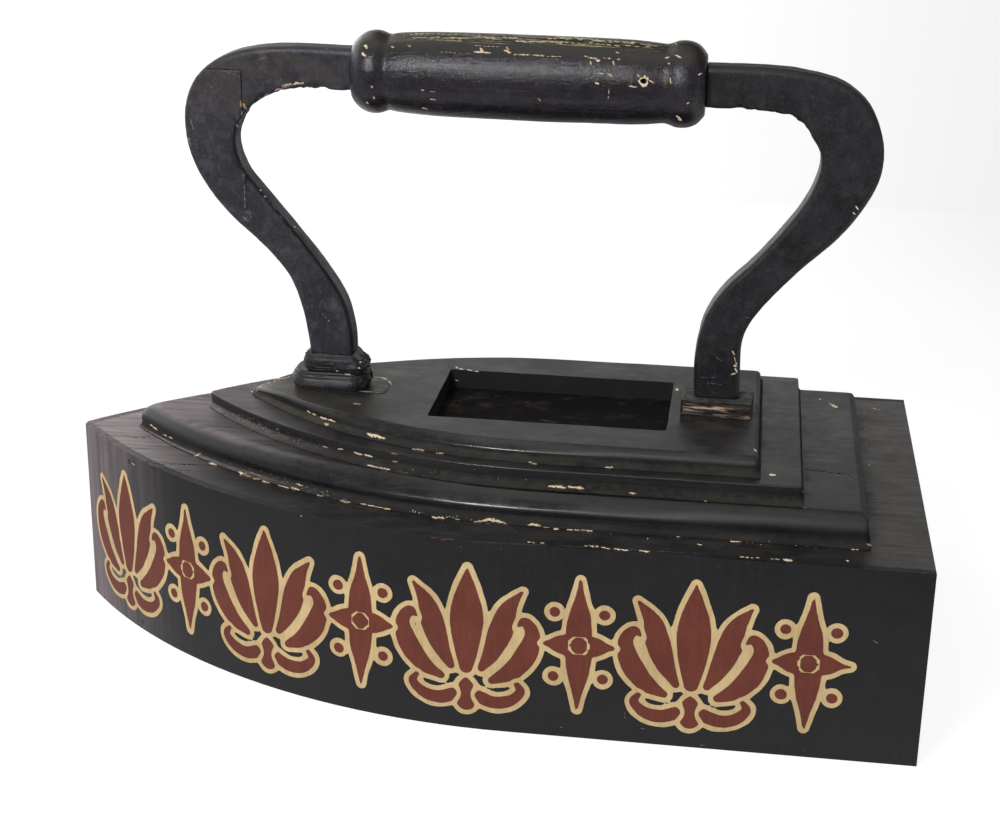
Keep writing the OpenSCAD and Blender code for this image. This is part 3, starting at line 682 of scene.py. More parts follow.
def collar_shift(points, normals, seed, toe_out, heel_out, lean, flared, depth):
    """A pad of filler pressed on by hand: flat lumpy sides with wavy creases, crumpled at the heel side.

    toe_out and heel_out are how far it spreads along X each way, lean how far its front
    falls back at the top, flared whether it spreads at its foot only, and depth how deep
    the creases are, where 1 is about a millimetre."""
    x, y, z = points.T
    low, high = z.min(), z.max()
    share = np.clip((z - low) / (high - low), 0, 1)
    side = 1 - smooth_step(np.abs(normals[:, 2]), 0.6, 0.97)
    drift = points * (1, 1, 0.25)
    level = z + CREASE_FALL * (x - COLLAR_X)
    level = level + 0.9 * lattice_noise(drift, 15, seed) + 0.4 * lattice_noise(drift, 4.5, seed + 1)
    out = side * 0.55 * lattice_noise(points, 8, seed + 3)
    out += 0.28 * depth * lattice_noise(points * (0.4, 0.4, 1.5), 3.0, seed + 4)
    out += 0.1 * lattice_noise(points, 1.5, seed + 5)
    for k, crease in enumerate(CREASES):
        deep = np.clip(0.35 + 1.1 * lattice_noise(drift, 8, seed + 10 + k), 0, 1)
        out -= depth * side * deep * 1.15 * hump(level, 0.6, crease)
        out += depth * side * deep * 0.4 * hump(level - crease + 1.5, 0.8)
    heel = smooth_step(x, *COLLAR_HEEL)
    ridges = 1 - 2 * np.abs(lattice_noise(points, 4.2, seed + 6))
    out += heel * side * (0.8 * ridges + 0.35 * lattice_noise(points, 1.9, seed + 7))
    skirt = np.clip(1 - (z - low) / SKIRT, 0, 1) ** 2
    if not flared:
        out = out * (1 - skirt) + side * 1.3 * skirt
    move = normals * out[:, None]
    if not flared:
        move[:, 2] *= 1 - skirt
    spread = (1 - share) ** 0.8 if flared else 1.0
    move[:, 0] += heel_out * heel * spread
    move[:, 0] -= toe_out * (1 - smooth_step(x, *COLLAR_TOE))
    move[:, 1] += lean * smooth_step(share, 0.25, 1) * smooth_step(-y, 2, 12)
    if flared:
        move[:, 1] -= 1.5 * (1 - share) * smooth_step(x, -112, -98) * smooth_step(-y, 4, 12)
        slump = smooth_step(x, -99, -89) * smooth_step(share, 0.3, 1)
        move[:, 2] -= slump * (7.5 + 1.2 * lattice_noise(points, 3.5, seed + 8))
        curl = np.linalg.norm((points - CURL) * (0.5, 0.22, 0.35), axis=1)
        move[:, 2] += 2.6 * hump(curl, 1.0)
    return move


# Height of the grip's axis
GRIP_Z = 401


def grip_shift(points, normals):
    """Turned by hand: slight bands round it, and fine ridges along it."""
    turn = np.arctan2(points[:, 1], points[:, 2] - GRIP_Z)
    radius = np.hypot(points[:, 1], points[:, 2] - GRIP_Z)
    ring = np.stack([np.cos(turn), np.sin(turn)], 1)
    along = np.column_stack([points[:, 0] / 45, ring * 6])
    move = 0.13 * lattice_noise(along, 1, 21)
    move += 0.3 * lattice_noise(points, 34, 22)
    move += 0.05 * lattice_noise(points, 2.2, 23)
    return move * smooth_step(radius, 9, 12)


def plate_shift(points, normals):
    """A split front face: splinters that run along it, some torn back further."""
    front = smooth_step(-normals[:, 1], 0.3, 0.9)
    splinters = np.column_stack([points[:, 0] / 17, points[:, 2] / 1.5])
    torn = lattice_noise(splinters, 1, 31) + 0.5 * lattice_noise(splinters * 2.1, 1, 32)
    return 0.12 * lattice_noise(points, 3, 33) - front * (0.7 + 0.9 * torn)


# Stepped boards, in millimetres: a pointed plan, a moulded edge and a coved foot

# X where the straight part of a board's side turns into the arc of its toe
BOARD_BEND = 42.0
# The upright lip at a board's foot, the cove's height, and its spread at the side, heel and toe
LIP = 1.0
COVE_UP = 3.0
COVE_OUT = 7.0
HEEL_COVE_OUT = 2.0
TOE_COVE_OUT = 2.0
COVE_TURNS = np.radians((15, 30, 45, 60, 75, 90))
# How softly the plan turns at its point and at its heel corners
POINT_SOFT, CORNER_SOFT = 1.5, 0.8
# The step between stations, how much wider it is across the heel, and how they crowd together
STATION = 2.0
HEEL_SPARSE = 1.5
CROWDING = 1.5
# How far the rings on a board's top lie inside its edge
TOP_INSETS = (1.5, 4, 8, 14, 22, 32)
# Shares of the upright face at which it has a ring
FACE_RINGS = (0.35, 0.7)
# The worn round-over as a quarter of unit size: three arcs, each the slope that it starts at, in
# degrees from level, and its radius. It is nearly flat in the middle and tight at the foot
WORN_ARCS = ((90, 0.38), (50, 3.879), (34, 0.195), (0, 0))
ARC_CUTS = 7
# From and to where the true round-over of the toe turns into the worn one
TOE_ROUND = (-115.0, -60.0)
# From and to where the toe's own radius turns into the side's
TOE_TIGHT = (-135.0, -88.0)
TOP_Z = 176.5
# The step round a hand-cut pocket, and how far from a corner the first one is
CUT_STEP, CUT_CORNER = 2.5, 1.5
# Cutters, as X, Y and Z from and to
POCKET = ((-37.3, 126.2), (-51.3, 48.7), (162.5, 190.0))
LET_IN = ((-138.0, -74.5), (-11.5, 15.5), (173.3, 190.0))
# A stretch of X that no board reaches
NOWHERE = (-900.0, -899.0)
# Half width, toe, heel, floor, thickness, and the edge's radius at the sides, heel and toe; from
# and to where the worn edge turns into a true one; where the nose starts to fall and how far
BOARDS = {
    "step_lower": ((125.5, -259.3, 259.5, 135.0, 19.0, 12.0, 6.0, 12.0), (95, 205), (-900.0, 0.0)),
    "step_middle": ((109.0, -206.0, 216.5, 154.0, 11.5, 0.9, 0.9, 0.9), NOWHERE, (-900.0, 0.0)),
    "step_upper": ((92.5, -173.5, 188.0, 165.5, 11.0, 6.5, 4.0, 2.8), (45, 110), (-143.5, 6.0)),
}
SHARP_EDGE = math.radians(38)
BOARD_SEED, POCKET_SEED = 200, 240
BOARD_PAINTS = {"step_lower": low_paint, "step_middle": middle_paint, "step_upper": high_paint}


def arch_radius(run, half):
    return (run ** 2 + half ** 2) / (2 * half)


def crowded(count):
    """Shares from 0 to 1, close together near 1."""
    return (1 - (np.arange(count + 1) / count) ** CROWDING)[::-1]


def worn_quarter():
    """The worn round-over from its foot up: steps in from the face and up, for a unit board edge."""
    rows = [(0.0, 0.0)]
    for (start, radius), (stop, _) in zip(WORN_ARCS, WORN_ARCS[1:]):
        cuts = np.radians(np.linspace(start, stop, ARC_CUTS))
        x0, z0 = rows[-1]
        for turn in cuts[1:]:
            rows.append((x0 + radius * (math.sin(cuts[0]) - math.sin(turn)),
                         z0 + radius * (math.cos(turn) - math.cos(cuts[0]))))
    rows = np.array(rows)
    return rows / rows[-1]


class Plan:
    """Stations round a pointed board, at the same share of each side whatever its size."""

    def __init__(self, half, toe, heel):
        radius = arch_radius(BOARD_BEND - toe, half)
        tip = math.acos((radius - half) / radius)
        self.arc = crowded(round(radius * tip / STATION))[::-1]
        self.straight = crowded(round((heel - BOARD_BEND) / STATION))[1:]
        side = crowded(round(half / STATION / HEEL_SPARSE))[:-1][::-1]
        self.across = np.r_[-side, side[::-1][1:]]

    def ring(self, half, toe, heel, inset=0.0, heel_inset=0.0):
        radius = arch_radius(BOARD_BEND - toe, half)
        reach = radius - inset
        tip = math.acos((radius - half) / reach)
        turn = tip * self.arc
        x = BOARD_BEND - reach * np.sin(turn)
        y = radius - half - reach * np.cos(turn)
        x += POINT_SOFT / math.tan(tip) * np.exp(y / POINT_SOFT)
        wide = half - inset
        end = heel - heel_inset
        front = np.column_stack([
            np.r_[x, BOARD_BEND + (end - BOARD_BEND) * self.straight],
            np.r_[y, np.full(len(self.straight), -wide)],
        ])
        edge = np.column_stack([np.full(len(self.across), end), wide * self.across])
        back = (front * (1, -1))[::-1][:-1]
        ring = np.concatenate([front, edge, back])
        for hand in (-1, 1):
            near = np.abs(ring[:, 0] - end) + np.abs(ring[:, 1] - hand * wide)
            pull = CORNER_SOFT * np.exp(-near * math.sqrt(0.5) / CORNER_SOFT)
            ring = ring - np.outer(pull, (1, hand)) * math.sqrt(0.5)
        return ring


def outward(ring):
    """Unit normals in plan of a ring of points that runs from the toe along the front."""
    step = np.roll(ring, -1, 0) - np.roll(ring, 1, 0)
    out = np.column_stack([step[:, 1], -step[:, 0]])
    return out / np.linalg.norm(out, axis=1)[:, None]


def stacked(name, rings):
    """A closed mesh through a stack of rings of equal count, in millimetres."""
    count = len(rings[0])
    points = np.concatenate(rings) * MM
    faces = [tuple(range(count))[::-1]]
    for level in range(len(rings) - 1):
        low, high = level * count, (level + 1) * count
        for k in range(count):
            n = (k + 1) % count
            faces.append((low + k, low + n, high + n, high + k))
    faces.append(tuple((len(rings) - 1) * count + k for k in range(count)))
    mesh = bpy.data.meshes.new(name)
    mesh.from_pydata(points.tolist(), [], faces)
    return mesh


def board_rings(sizes, worn, wear, seed):
    """Rings of a stepped board from its foot to its top, from a row of BOARDS."""
    half, toe, heel, floor, thick, radius, heel_radius, toe_radius = sizes
    plan = Plan(half, toe, heel)
    face = plan.ring(half, toe, heel)
    foot = plan.ring(half + COVE_OUT, toe - TOE_COVE_OUT, heel + HEEL_COVE_OUT)
    rough = layered(foot, seed, (0.3, 4), (0.2, 1.7))
    rings = [(foot, 0.0), (foot, LIP)]
    for turn in COVE_TURNS:
        height = LIP + COVE_UP * (1 - math.cos(turn))
        rings.append((face + (foot - face) * (1 - math.sin(turn)), height + rough * math.sin(2 * turn)))
    base = LIP + COVE_UP
    edge_from = thick - radius
    for share in FACE_RINGS:
        if edge_from > base + 0.3:
            rings.append((face, base + (edge_from - base) * share))
    x_face = face[:, 0]
    share = (1 - smooth_step(x_face, *worn)[:, None]) * smooth_step(x_face, *TOE_ROUND)[:, None]
    tight = 1 - smooth_step(x_face, *TOE_TIGHT)[:, None]
    for x, z in worn_quarter():
        turn = math.atan2(z, 1 - x)
        in_turn, up_turn = 1 - math.cos(turn), math.sin(turn)
        edges = []
        for inset, up in ((radius * x, edge_from + radius * z),
                          (radius * in_turn, edge_from + radius * up_turn),
                          (toe_radius * in_turn, thick - toe_radius * (1 - up_turn))):
            over = max(0.0, up - (thick - heel_radius))
            heel_inset = heel_radius - math.sqrt(max(heel_radius ** 2 - over ** 2, 0.0))
            edges.append(np.column_stack([plan.ring(half, toe, heel, inset, heel_inset),
                                          np.full(len(face), up)]))
        both = edges[0] * share + edges[1] * (1 - share)
        both = both * (1 - tight) + edges[2] * tight
        rings.append((both[:, :2], both[:, 2]))
    for extra in TOP_INSETS:
        rings.append((plan.ring(half, toe, heel, radius + extra, heel_radius + extra), thick))
    made = []
    for ring, height in rings:
        height = height + np.zeros(len(ring))
        move = layered(np.column_stack([ring, height * 0.6]), seed + 2, (0.13, 27), (0.05, 9))
        waves = layered(ring, seed + 4, (0.05, 45), (0.03, 13))
        fall = wear[1] * np.clip((wear[0] - ring[:, 0]) / (wear[0] - toe), 0, 1) ** 1.5
        up = LIP + (height - LIP) * (1 - fall / (thick - LIP))
        up = np.where(height > LIP, up, height) + waves * (height >= edge_from)
        made.append(np.column_stack([ring + outward(ring) * move[:, None], up + floor]))
    return made


def cut_rings(box, seed):
    """Rings of an uneven upright box that cuts a pocket by hand."""
    (x0, x1), (y0, y1), (z0, z1) = box
    xs = np.arange(x0 + CUT_CORNER, x1, CUT_STEP)
    ys = np.arange(y0 + CUT_CORNER, y1, CUT_STEP)
    ring = np.concatenate([
        np.column_stack([xs, np.full(len(xs), y0)]), np.column_stack([np.full(len(ys), x1), ys]),
        np.column_stack([xs[::-1], np.full(len(xs), y1)]),
        np.column_stack([np.full(len(ys), x0), ys[::-1]]),
    ])
    made = []
    for z in (z0, z0 + 4, TOP_Z - 4, TOP_Z - 0.8, TOP_Z, z1):
        points = np.column_stack([ring, np.full(len(ring), z)])
        move = layered(points, seed, (0.25, 16), (0.12, 5))
        made.append(np.column_stack([ring + outward(ring) * move[:, None], points[:, 2]]))
    return made


def cut_out(target, name, rings):
    """Takes the shape of a stack of rings out of a piece."""
    tool = bpy.data.objects.new(name, stacked(name, rings))
    scene.collection.objects.link(tool)
    cut = target.modifiers.new(name, "BOOLEAN")
    cut.operation = "DIFFERENCE"
    cut.solver = "EXACT"
    cut.object = tool
    graph = bpy.context.evaluated_depsgraph_get()
    mesh = bpy.data.meshes.new_from_object(target.evaluated_get(graph))
    target.modifiers.clear()
    target.data = mesh
    bpy.data.objects.remove(tool)


def box_rings(box):
    (x0, x1), (y0, y1), (z0, z1) = box
    return [np.array([(x0, y0, z), (x1, y0, z), (x1, y1, z), (x0, y1, z)], float) for z in (z0, z1)]


def line_pocket(piece):
    """Gives the faces inside the pocket their own paint."""
    beside, below = 0.8, 0.2
    piece.data.materials.append(pocket_paint)
    (x0, x1), (y0, y1), _ = POCKET
    for face in piece.data.polygons:
        x, y, z = face.center / MM
        if x0 - beside < x < x1 + beside and y0 - beside < y < y1 + beside and z < TOP_Z - below:
            face.material_index = 1


def make_boards():
    for k, (node, row) in enumerate(BOARDS.items()):
        mesh = stacked(node + "_moulded", board_rings(*row, BOARD_SEED + 10 * k))
        made = link(node + "_moulded", mesh, BOARD_PAINTS[node])
        if node != "step_lower":
            cut_out(made, "pocket_cutter", cut_rings(POCKET, POCKET_SEED))
            if node == "step_upper":
                cut_out(made, "let_in_cutter", box_rings(LET_IN))
            line_pocket(made)
        made.data.shade_smooth()
        made.data.set_sharp_from_angle(angle=SHARP_EDGE)
        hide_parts(node)


# Painted frieze on the front side: palmettes and pointed stars, in millimetres

# The box in plan: its half width, where its straight part ends, and how far its arc runs on
BOX_HALF = 160.9
BEND_X = 34.0
ARC_RUN = 336.5
ARC_R = (ARC_RUN ** 2 + BOX_HALF ** 2) / (2 * BOX_HALF)
FRIEZE_CELL = 1.5
FRIEZE_RUN = (-372, 244)
FRIEZE_Z = (10, 124)
OUTLINE = 3.3
PART_GAP = 2.6
FRIEZE_MIDDLE_Z = 67.0
# Farther than any point of the frieze from any stroke
FAR = 1e3
# Each stroke is a list of points with a radius; those that start off the middle are mirrored
PALMETTE = [
    [(0, -22, 4.5), (0, -6, 8.5), (0, 14, 11), (0, 32, 7), (0, 49, 0.6)],
    [(10, -22, 2.5), (17, -9, 6), (23, 8, 8), (27, 22, 5.5), (36, 35, 0.6)],
    [(17, -30, 2.5), (29, -23, 6), (39, -10, 7.2), (43, 5, 5), (38, 14, 3.2), (32, 10, 1.4)],
    [(7, -42, 4.5), (18, -46, 4.6), (29, -44, 4), (36, -37, 3), (33, -31, 1.6)],
    [(0, -47, 6.5), (0, -38, 6), (0, -31, 1.5)],
]
STAR = [
    [(0, 0, 9), (0, 18, 7.5), (0, 34, 3.2), (0, 46, 0.6)],
    [(0, 0, 9), (0, -18, 7.5), (0, -34, 3.2), (0, -46, 0.6)],
    [(0.01, 0, 9), (10, 0, 7), (19, 0, 2.6), (26, 0, 0.6)],
]
STAR_BEADS = [(16, 23, 3.6), (16, -23, 3.6)]
# The ring in a star's middle: its radius and half its width
STAR_EYE = (6.3, 1.1)
PALMETTE_AT = (-318, -172, -26, 120)
STAR_AT = (-245, -99, 47, 193)
# How far from its middle a figure's strokes are looked for
PALMETTE_REACH, STAR_REACH = 55, 40
# Points on a stroke's curve from one listed point to the next
CURVE_STEPS = 6


def smooth_points(points):
    """Points on a smooth curve through the listed ones."""
    p = np.array([points[0], *points, points[-1]], float)
    made = []
    for k in range(1, len(p) - 2):
        for t in np.arange(CURVE_STEPS) / CURVE_STEPS:
            made.append(0.5 * (2 * p[k] + (p[k + 1] - p[k - 1]) * t
                        + (2 * p[k - 1] - 5 * p[k] + 4 * p[k + 1] - p[k + 2]) * t ** 2
                        + (3 * p[k] - p[k - 1] - 3 * p[k + 1] + p[k + 2]) * t ** 3))
    made.append(p[-1])
    return made


def stroke_distance(flat, points):
    """Signed distance of 2-D points from a stroke of changing radius."""
    best = np.full(len(flat), FAR)
    chain = smooth_points(points)
    for a, b in zip(chain, chain[1:]):
        run = b[:2] - a[:2]
        along = np.clip(((flat - a[:2]) @ run) / max(run @ run, 1e-9), 0, 1)
        radius = a[2] + along * (b[2] - a[2])
        best = np.minimum(best, np.linalg.norm(flat - a[:2] - along[:, None] * run, axis=1) - radius)
    return best


def hands(points):
    """A stroke, and its mirror image too where it starts off the middle."""
    mirrors = (1,) if points[0][0] == 0 else (1, -1)
    return [[(mirror * x, z, r) for x, z, r in points] for mirror in mirrors]


def frieze_fields(flat):
    """How far inside each point lies: of the red fill, and of the cream shape behind it."""
    nearest = np.full(len(flat), FAR)
    second = np.full(len(flat), FAR)

    def part(distance):
        nonlocal nearest, second
        second = np.minimum(second, np.maximum(nearest, distance))
        nearest = np.minimum(nearest, distance)

    for middle in PALMETTE_AT:
        here = flat - np.array([middle, FRIEZE_MIDDLE_Z])
        close = np.abs(here[:, 0]) < PALMETTE_REACH
        for stroke in (hand for points in PALMETTE for hand in hands(points)):
            distance = np.full(len(flat), FAR)
            distance[close] = stroke_distance(here[close], stroke)
            part(distance)
    for middle in STAR_AT:
        here = flat - np.array([middle, FRIEZE_MIDDLE_Z])
        close = np.abs(here[:, 0]) < STAR_REACH
        distance = np.full(len(flat), FAR)
        for stroke in (hand for points in STAR for hand in hands(points)):
            distance[close] = np.minimum(distance[close], stroke_distance(here[close], stroke))
        part(distance)
        eye_radius, eye_width = STAR_EYE
        eye = np.abs(np.linalg.norm(here, axis=1) - eye_radius) - eye_width
        second = np.where(eye < 0, nearest, second)
        for x, z, r in STAR_BEADS:
            for mirror in (1, -1):
                part(np.linalg.norm(here - np.array([mirror * x, z]), axis=1) - r)
    wobble = layered(flat, 71, (0.3, 8), (0.14, 3))
    red = -np.maximum(nearest + wobble, PART_GAP / 2 - (second - nearest) / 2)
    cream = OUTLINE - (nearest + layered(flat, 73, (0.3, 7), (0.12, 2.6)))
    return red, cream


def filled(field, us, zs):
    """Points and faces of the region of a grid where the field is above 0, its rim cut smoothly."""
    inside = field > 0
    points = []
    number = {}

    def corner(i, j):
        key = (i, j)
        if key not in number:
            number[key] = len(points)
            points.append((us[i], zs[j]))
        return number[key]

    def crossing(i, j, k, l):
        key = (min((i, j), (k, l)), max((i, j), (k, l)))
        if key not in number:
            (i, j), (k, l) = key
            share = min(max(field[i, j] / (field[i, j] - field[k, l]), 0.04), 0.96)
            number[key] = len(points)
            points.append((us[i] + (us[k] - us[i]) * share, zs[j] + (zs[l] - zs[j]) * share))
        return number[key]

    faces = []
    for i in range(len(us) - 1):
        for j in range(len(zs) - 1):
            ring = ((i, j), (i + 1, j), (i + 1, j + 1), (i, j + 1))
            flags = [inside[c] for c in ring]
            if not any(flags):
                continue
            face = []
            for k in range(4):
                a, b = ring[k], ring[(k + 1) % 4]
                if flags[k]:
                    face.append(corner(*a))
                if flags[k] != flags[(k + 1) % 4]:
                    face.append(crossing(*a, *b))
            faces.append(face)
    return points, faces


def on_side(u, z, lift):
    """A point on the front side: u runs from the bend, towards the heel, in millimetres."""
    if u >= 0:
        return Vector((BEND_X + u, -BOX_HALF - lift, z)) * MM
    turn = u / ARC_R
    reach = ARC_R + lift
    middle_y = ARC_R - BOX_HALF
    return Vector((BEND_X + reach * math.sin(turn), middle_y - reach * math.cos(turn), z)) * MM


def paint_layer(name, field, us, zs, lift, thick, material):
    """A film of paint of a thickness, whose outside stands a lift off the side."""
    points, faces = filled(field, us, zs)
    mesh = bpy.data.meshes.new(name)
    mesh.from_pydata([on_side(u, z, lift) for u, z in points], [], faces)
    made = link(name, mesh, material)
    solid = made.modifiers.new("film", "SOLIDIFY")
    solid.thickness = thick * MM
    solid.offset = -1.0
    return made


def make_frieze():
    us = np.arange(*FRIEZE_RUN, FRIEZE_CELL)
    zs = np.arange(*FRIEZE_Z, FRIEZE_CELL)
    grid = np.stack(np.meshgrid(us, zs, indexing="ij"), -1).reshape(-1, 2)
    red, cream = (f.reshape(len(us), len(zs)) for f in frieze_fields(grid))
    paint_layer("frieze_outline", cream, us, zs, 0.14, 0.3, cream_paint)
    paint_layer("frieze_fill", red, us, zs, 0.24, 0.25, red_paint)


# Marks on the finished surface, placed by where they show in the photograph's frame

MIDDLE_X, MIDDLE_Y = 500.0, 410.5
FOCAL_PIXELS = LENS_MM / SENSOR_MM * 2 * MIDDLE_X


class Skin:
    """All shown pieces as one surface to cast on."""

    def __init__(self):
        points = []
        faces = []
        for obj in scene.objects:
            if obj.type != "MESH" or obj.hide_render or "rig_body" not in obj:
                continue
            first = len(points)
            points.extend(v.co.copy() for v in obj.data.vertices)
            faces.extend([first + k for k in f.vertices] for f in obj.data.polygons)
        self.tree = BVHTree.FromPolygons(points, faces)
        turn = scene.camera.matrix_world.to_3x3()
        self.right, self.up, self.back = (turn.col[k].copy() for k in range(3))
        self.eye = Vector(CAMERA_AT)

    def cast(self, x, y):
        """Where the line of sight through a pixel meets the sign."""
        way = -self.back + self.right * ((x - MIDDLE_X) / FOCAL_PIXELS)
        way -= self.up * ((y - MIDDLE_Y) / FOCAL_PIXELS)
        return self.tree.ray_cast(self.eye, way.normalized())[0]

    def spot(self, x, y):
        """The surface at a pixel and its normal, or None past the sign's outline."""
        hit = self.cast(x, y)
        return None if hit is None else self.tree.find_nearest(hit)[:2]


# How high a flake stands at its left, middle and right, as shares of its lift, and how deep it
# goes, in millimetres
FLAKE_CROWN = (0.35, 1.0, 0.35)
FLAKE_DEPTH = 0.25
# In pixels: a flake's least length, the step from row to row, and how far its sides stray
LEAST_LENGTH = 0.4
FLAKE_STEP = 1.1
RAGGED = (0.15, 1.4)
# The share of its width that a flake has at its very end, and how fast it widens from there
BLUNT, WIDENS = 0.25, 3.2
# How far a row may reach in millimetres, and how much further for each pixel of width
SLIP = (0.6, 2.2)
# Up to how many widths a stroke is one flake, how many widths the pieces of a longer one have,
# the pixels added to both, and the share of the pieces that are left out
WHOLE_WIDTHS, PIECE_WIDTHS, SPARE = 6, 3.5, 2
GAPS = 0.14
RING_POINTS = 30


class Marks:
    """Thin ragged flakes that lie on the surface, gathered into one closed mesh each kind."""

    def __init__(self, name, material, skin, seed, lift, grow=0.0):
        self.name, self.material, self.skin = name, material, skin
        self.random = random.Random(seed)
        self.lift, self.grow = lift * MM, grow
        self.bm = bmesh.new()

    def strip(self, rows):
        """A ribbon of rows of three surface points, each with its normal, closed underneath."""
        new = self.bm.verts.new
        tops, lows = [], []
        for row in rows:
            tops.append([new(p + n * self.lift * k) for (p, n), k in zip(row, FLAKE_CROWN)])
            lows.append([new(p - n * FLAKE_DEPTH * MM) for p, n in row])
        add = self.bm.faces.new
        for top, top2, low, low2 in zip(tops, tops[1:], lows, lows[1:]):
            for j in range(2):
                add((top[j], top2[j], top2[j + 1], top[j + 1]))
                add((low[j + 1], low2[j + 1], low2[j], low[j]))
            for j in (0, 2):
                add((top[j], low[j], low2[j], top2[j]))
        for top, low in ((tops[0], lows[0]), (tops[-1], lows[-1])):
            for j in range(2):
                add((top[j], top[j + 1], low[j + 1], low[j]))

    def flake(self, x0, y0, x1, y1, width):
        """One ragged flake from a pixel to another, about so many pixels wide."""
        length = max(math.hypot(x1 - x0, y1 - y0), LEAST_LENGTH)
        along = ((x1 - x0) / length, (y1 - y0) / length)
        x0, y0 = x0 - along[0] * self.grow, y0 - along[1] * self.grow
        x1, y1 = x1 + along[0] * self.grow, y1 + along[1] * self.grow
        steps = max(3, round(length / FLAKE_STEP))
        left, right = ([self.random.uniform(*RAGGED) for _ in range(steps + 1)] for _ in range(2))
        # A row that reaches further than this has slipped over an edge
        limit = (SLIP[0] + SLIP[1] * width + self.grow) * MM
        rows = []
        for k in range(steps + 1):
            share = k / steps
            blunt = min(1.0, BLUNT + WIDENS * min(share, 1 - share))
            x = x0 + (x1 - x0) * share
            y = y0 + (y1 - y0) * share
            row = []
            for reach in (-left[k], 0.0, right[k]):
                half = (0.5 * width * reach + math.copysign(self.grow, reach) * (reach != 0)) * blunt
                row.append(self.skin.spot(x - along[1] * half, y + along[0] * half))
            if None in row:
                continue
            if max((row[j][0] - row[1][0]).length for j in (0, 2)) <= limit:
                rows.append(row)
        if len(rows) > 2:
            self.strip(rows)

    def stroke(self, x0, y0, x1, y1, width):
        """A worn stretch from one pixel to another. A long thin one breaks into short flakes."""
        length = math.hypot(x1 - x0, y1 - y0)
        if length < WHOLE_WIDTHS * width + SPARE:
            self.flake(x0, y0, x1, y1, width)
            return
        count = max(2, round(length / (PIECE_WIDTHS * width + SPARE)))
        for k in range(count):
            if self.random.random() < GAPS:
                continue
            a = (k + self.random.uniform(-0.1, 0.25)) / count
            b = (k + self.random.uniform(0.7, 1.12)) / count
            off = self.random.uniform(-0.35, 0.35) * width
            wide = width * self.random.uniform(0.55, 1.25)
            self.flake(x0 + (x1 - x0) * a, y0 + (y1 - y0) * a + off,
                       x0 + (x1 - x0) * b, y0 + (y1 - y0) * b + off, wide)

    def ring(self, x, y, inner, outer):
        """A ragged ring round a pixel, with its radii in pixels."""
        rows = []
        for k in range(RING_POINTS):
            turn = 2 * math.pi * k / RING_POINTS
            reach = outer * self.random.uniform(0.68, 1.25)
            row = [self.skin.spot(x + r * math.cos(turn), y + r * math.sin(turn))
                   for r in (inner, (inner + reach) / 2, reach)]
            if None not in row:
                rows.append(row)
        rows.append(rows[0])
        self.strip(rows)

    def scatter(self, x0, y0, x1, y1, spread, count, least, most):
        """Specks strewn in a few loose clusters along a line of pixels."""
        clusters = [self.random.random() for _ in range(max(3, count // 5))]
        for _ in range(count):
            share = self.random.choice(clusters) + self.random.gauss(0, 0.06)
            share = min(max(share, 0.0), 1.0)
            x = x0 + (x1 - x0) * share + self.random.gauss(0, spread)
            y = y0 + (y1 - y0) * share + self.random.gauss(0, spread)
            size = least + (most - least) * self.random.random() ** 2.2
            turn = self.random.gauss(0, 0.5)
            reach = size * self.random.uniform(0.4, 1.8)
            self.flake(x, y, x + reach * math.cos(turn), y + reach * math.sin(turn), size)

    def finish(self):
        bmesh.ops.recalc_face_normals(self.bm, faces=self.bm.faces)
        mesh = bpy.data.meshes.new(self.name)
        self.bm.to_mesh(mesh)
        self.bm.free()
        mesh.shade_smooth()
        return link(self.name, mesh, self.material)


# Studio

# Metres: half the width of the sheets, where the floor starts and ends, and the wall's top as Y and Z
SHEET_HALF = 6
FLOOR_FRONT = -4
WALL_Y = 1.35
WALL_TOP = (1.9, 5)


WHITE = (1, 1, 1)
# How much of the light on it a sheet gives back, in truth and where the camera sees it
ALBEDO, ALBEDO_SHOWN = 0.75, 0.25
FLOOR_WHITE = 0.88


def stage_plane(name, start, end, material):
    """A sheet across the scene from one Y and Z to another."""
    mesh = bpy.data.meshes.new(name)
    corners = [(-SHEET_HALF, *start), (SHEET_HALF, *start), (SHEET_HALF, *end), (-SHEET_HALF, *end)]
    mesh.from_pydata(corners, [], [(0, 1, 2, 3)])
    mesh.materials.append(material)
    made = bpy.data.objects.new(name, mesh)
    scene.collection.objects.link(made)


def sheet(name, shown, mirrored):
    """A plain white sheet. shown is its brightness to the camera beyond what falls on it,
    and mirrored is how bright it is in the sign's gloss. Both take the material under
    construction and return a value. Its back is clear, so that the sign shows through it."""
    g = Graph(name)
    path = g.add("ShaderNodeLightPath").outputs
    albedo = g.mix(path["Is Camera Ray"], (ALBEDO,) * 3, (ALBEDO_SHOWN,) * 3)
    lit = g.add("ShaderNodeBsdfDiffuse", {"Color": albedo})
    glow = g.add("ShaderNodeEmission", {"Color": WHITE})
    g.put(glow.inputs["Strength"], g.times(path["Is Camera Ray"], shown(g)))
    plain = g.add("ShaderNodeAddShader", {0: lit.outputs[0], 1: glow.outputs[0]})
    through = g.math("MAXIMUM", path["Is Glossy Ray"], path["Is Transmission Ray"])
    mirror = g.add("ShaderNodeEmission", {"Color": WHITE, "Strength": mirrored(g)})
    either = g.add("ShaderNodeMixShader", {0: through, 1: plain.outputs[0], 2: mirror.outputs[0]})
    behind = g.times(path["Is Camera Ray"], g.geometry.outputs["Backfacing"])
    clear = g.add("ShaderNodeBsdfTransparent")
    one_sided = g.add("ShaderNodeMixShader", {0: behind, 1: either.outputs[0], 2: clear.outputs[0]})
    out = g.add("ShaderNodeOutputMaterial")
    g.tree.links.new(one_sided.outputs[0], out.inputs[0])
    return g.material


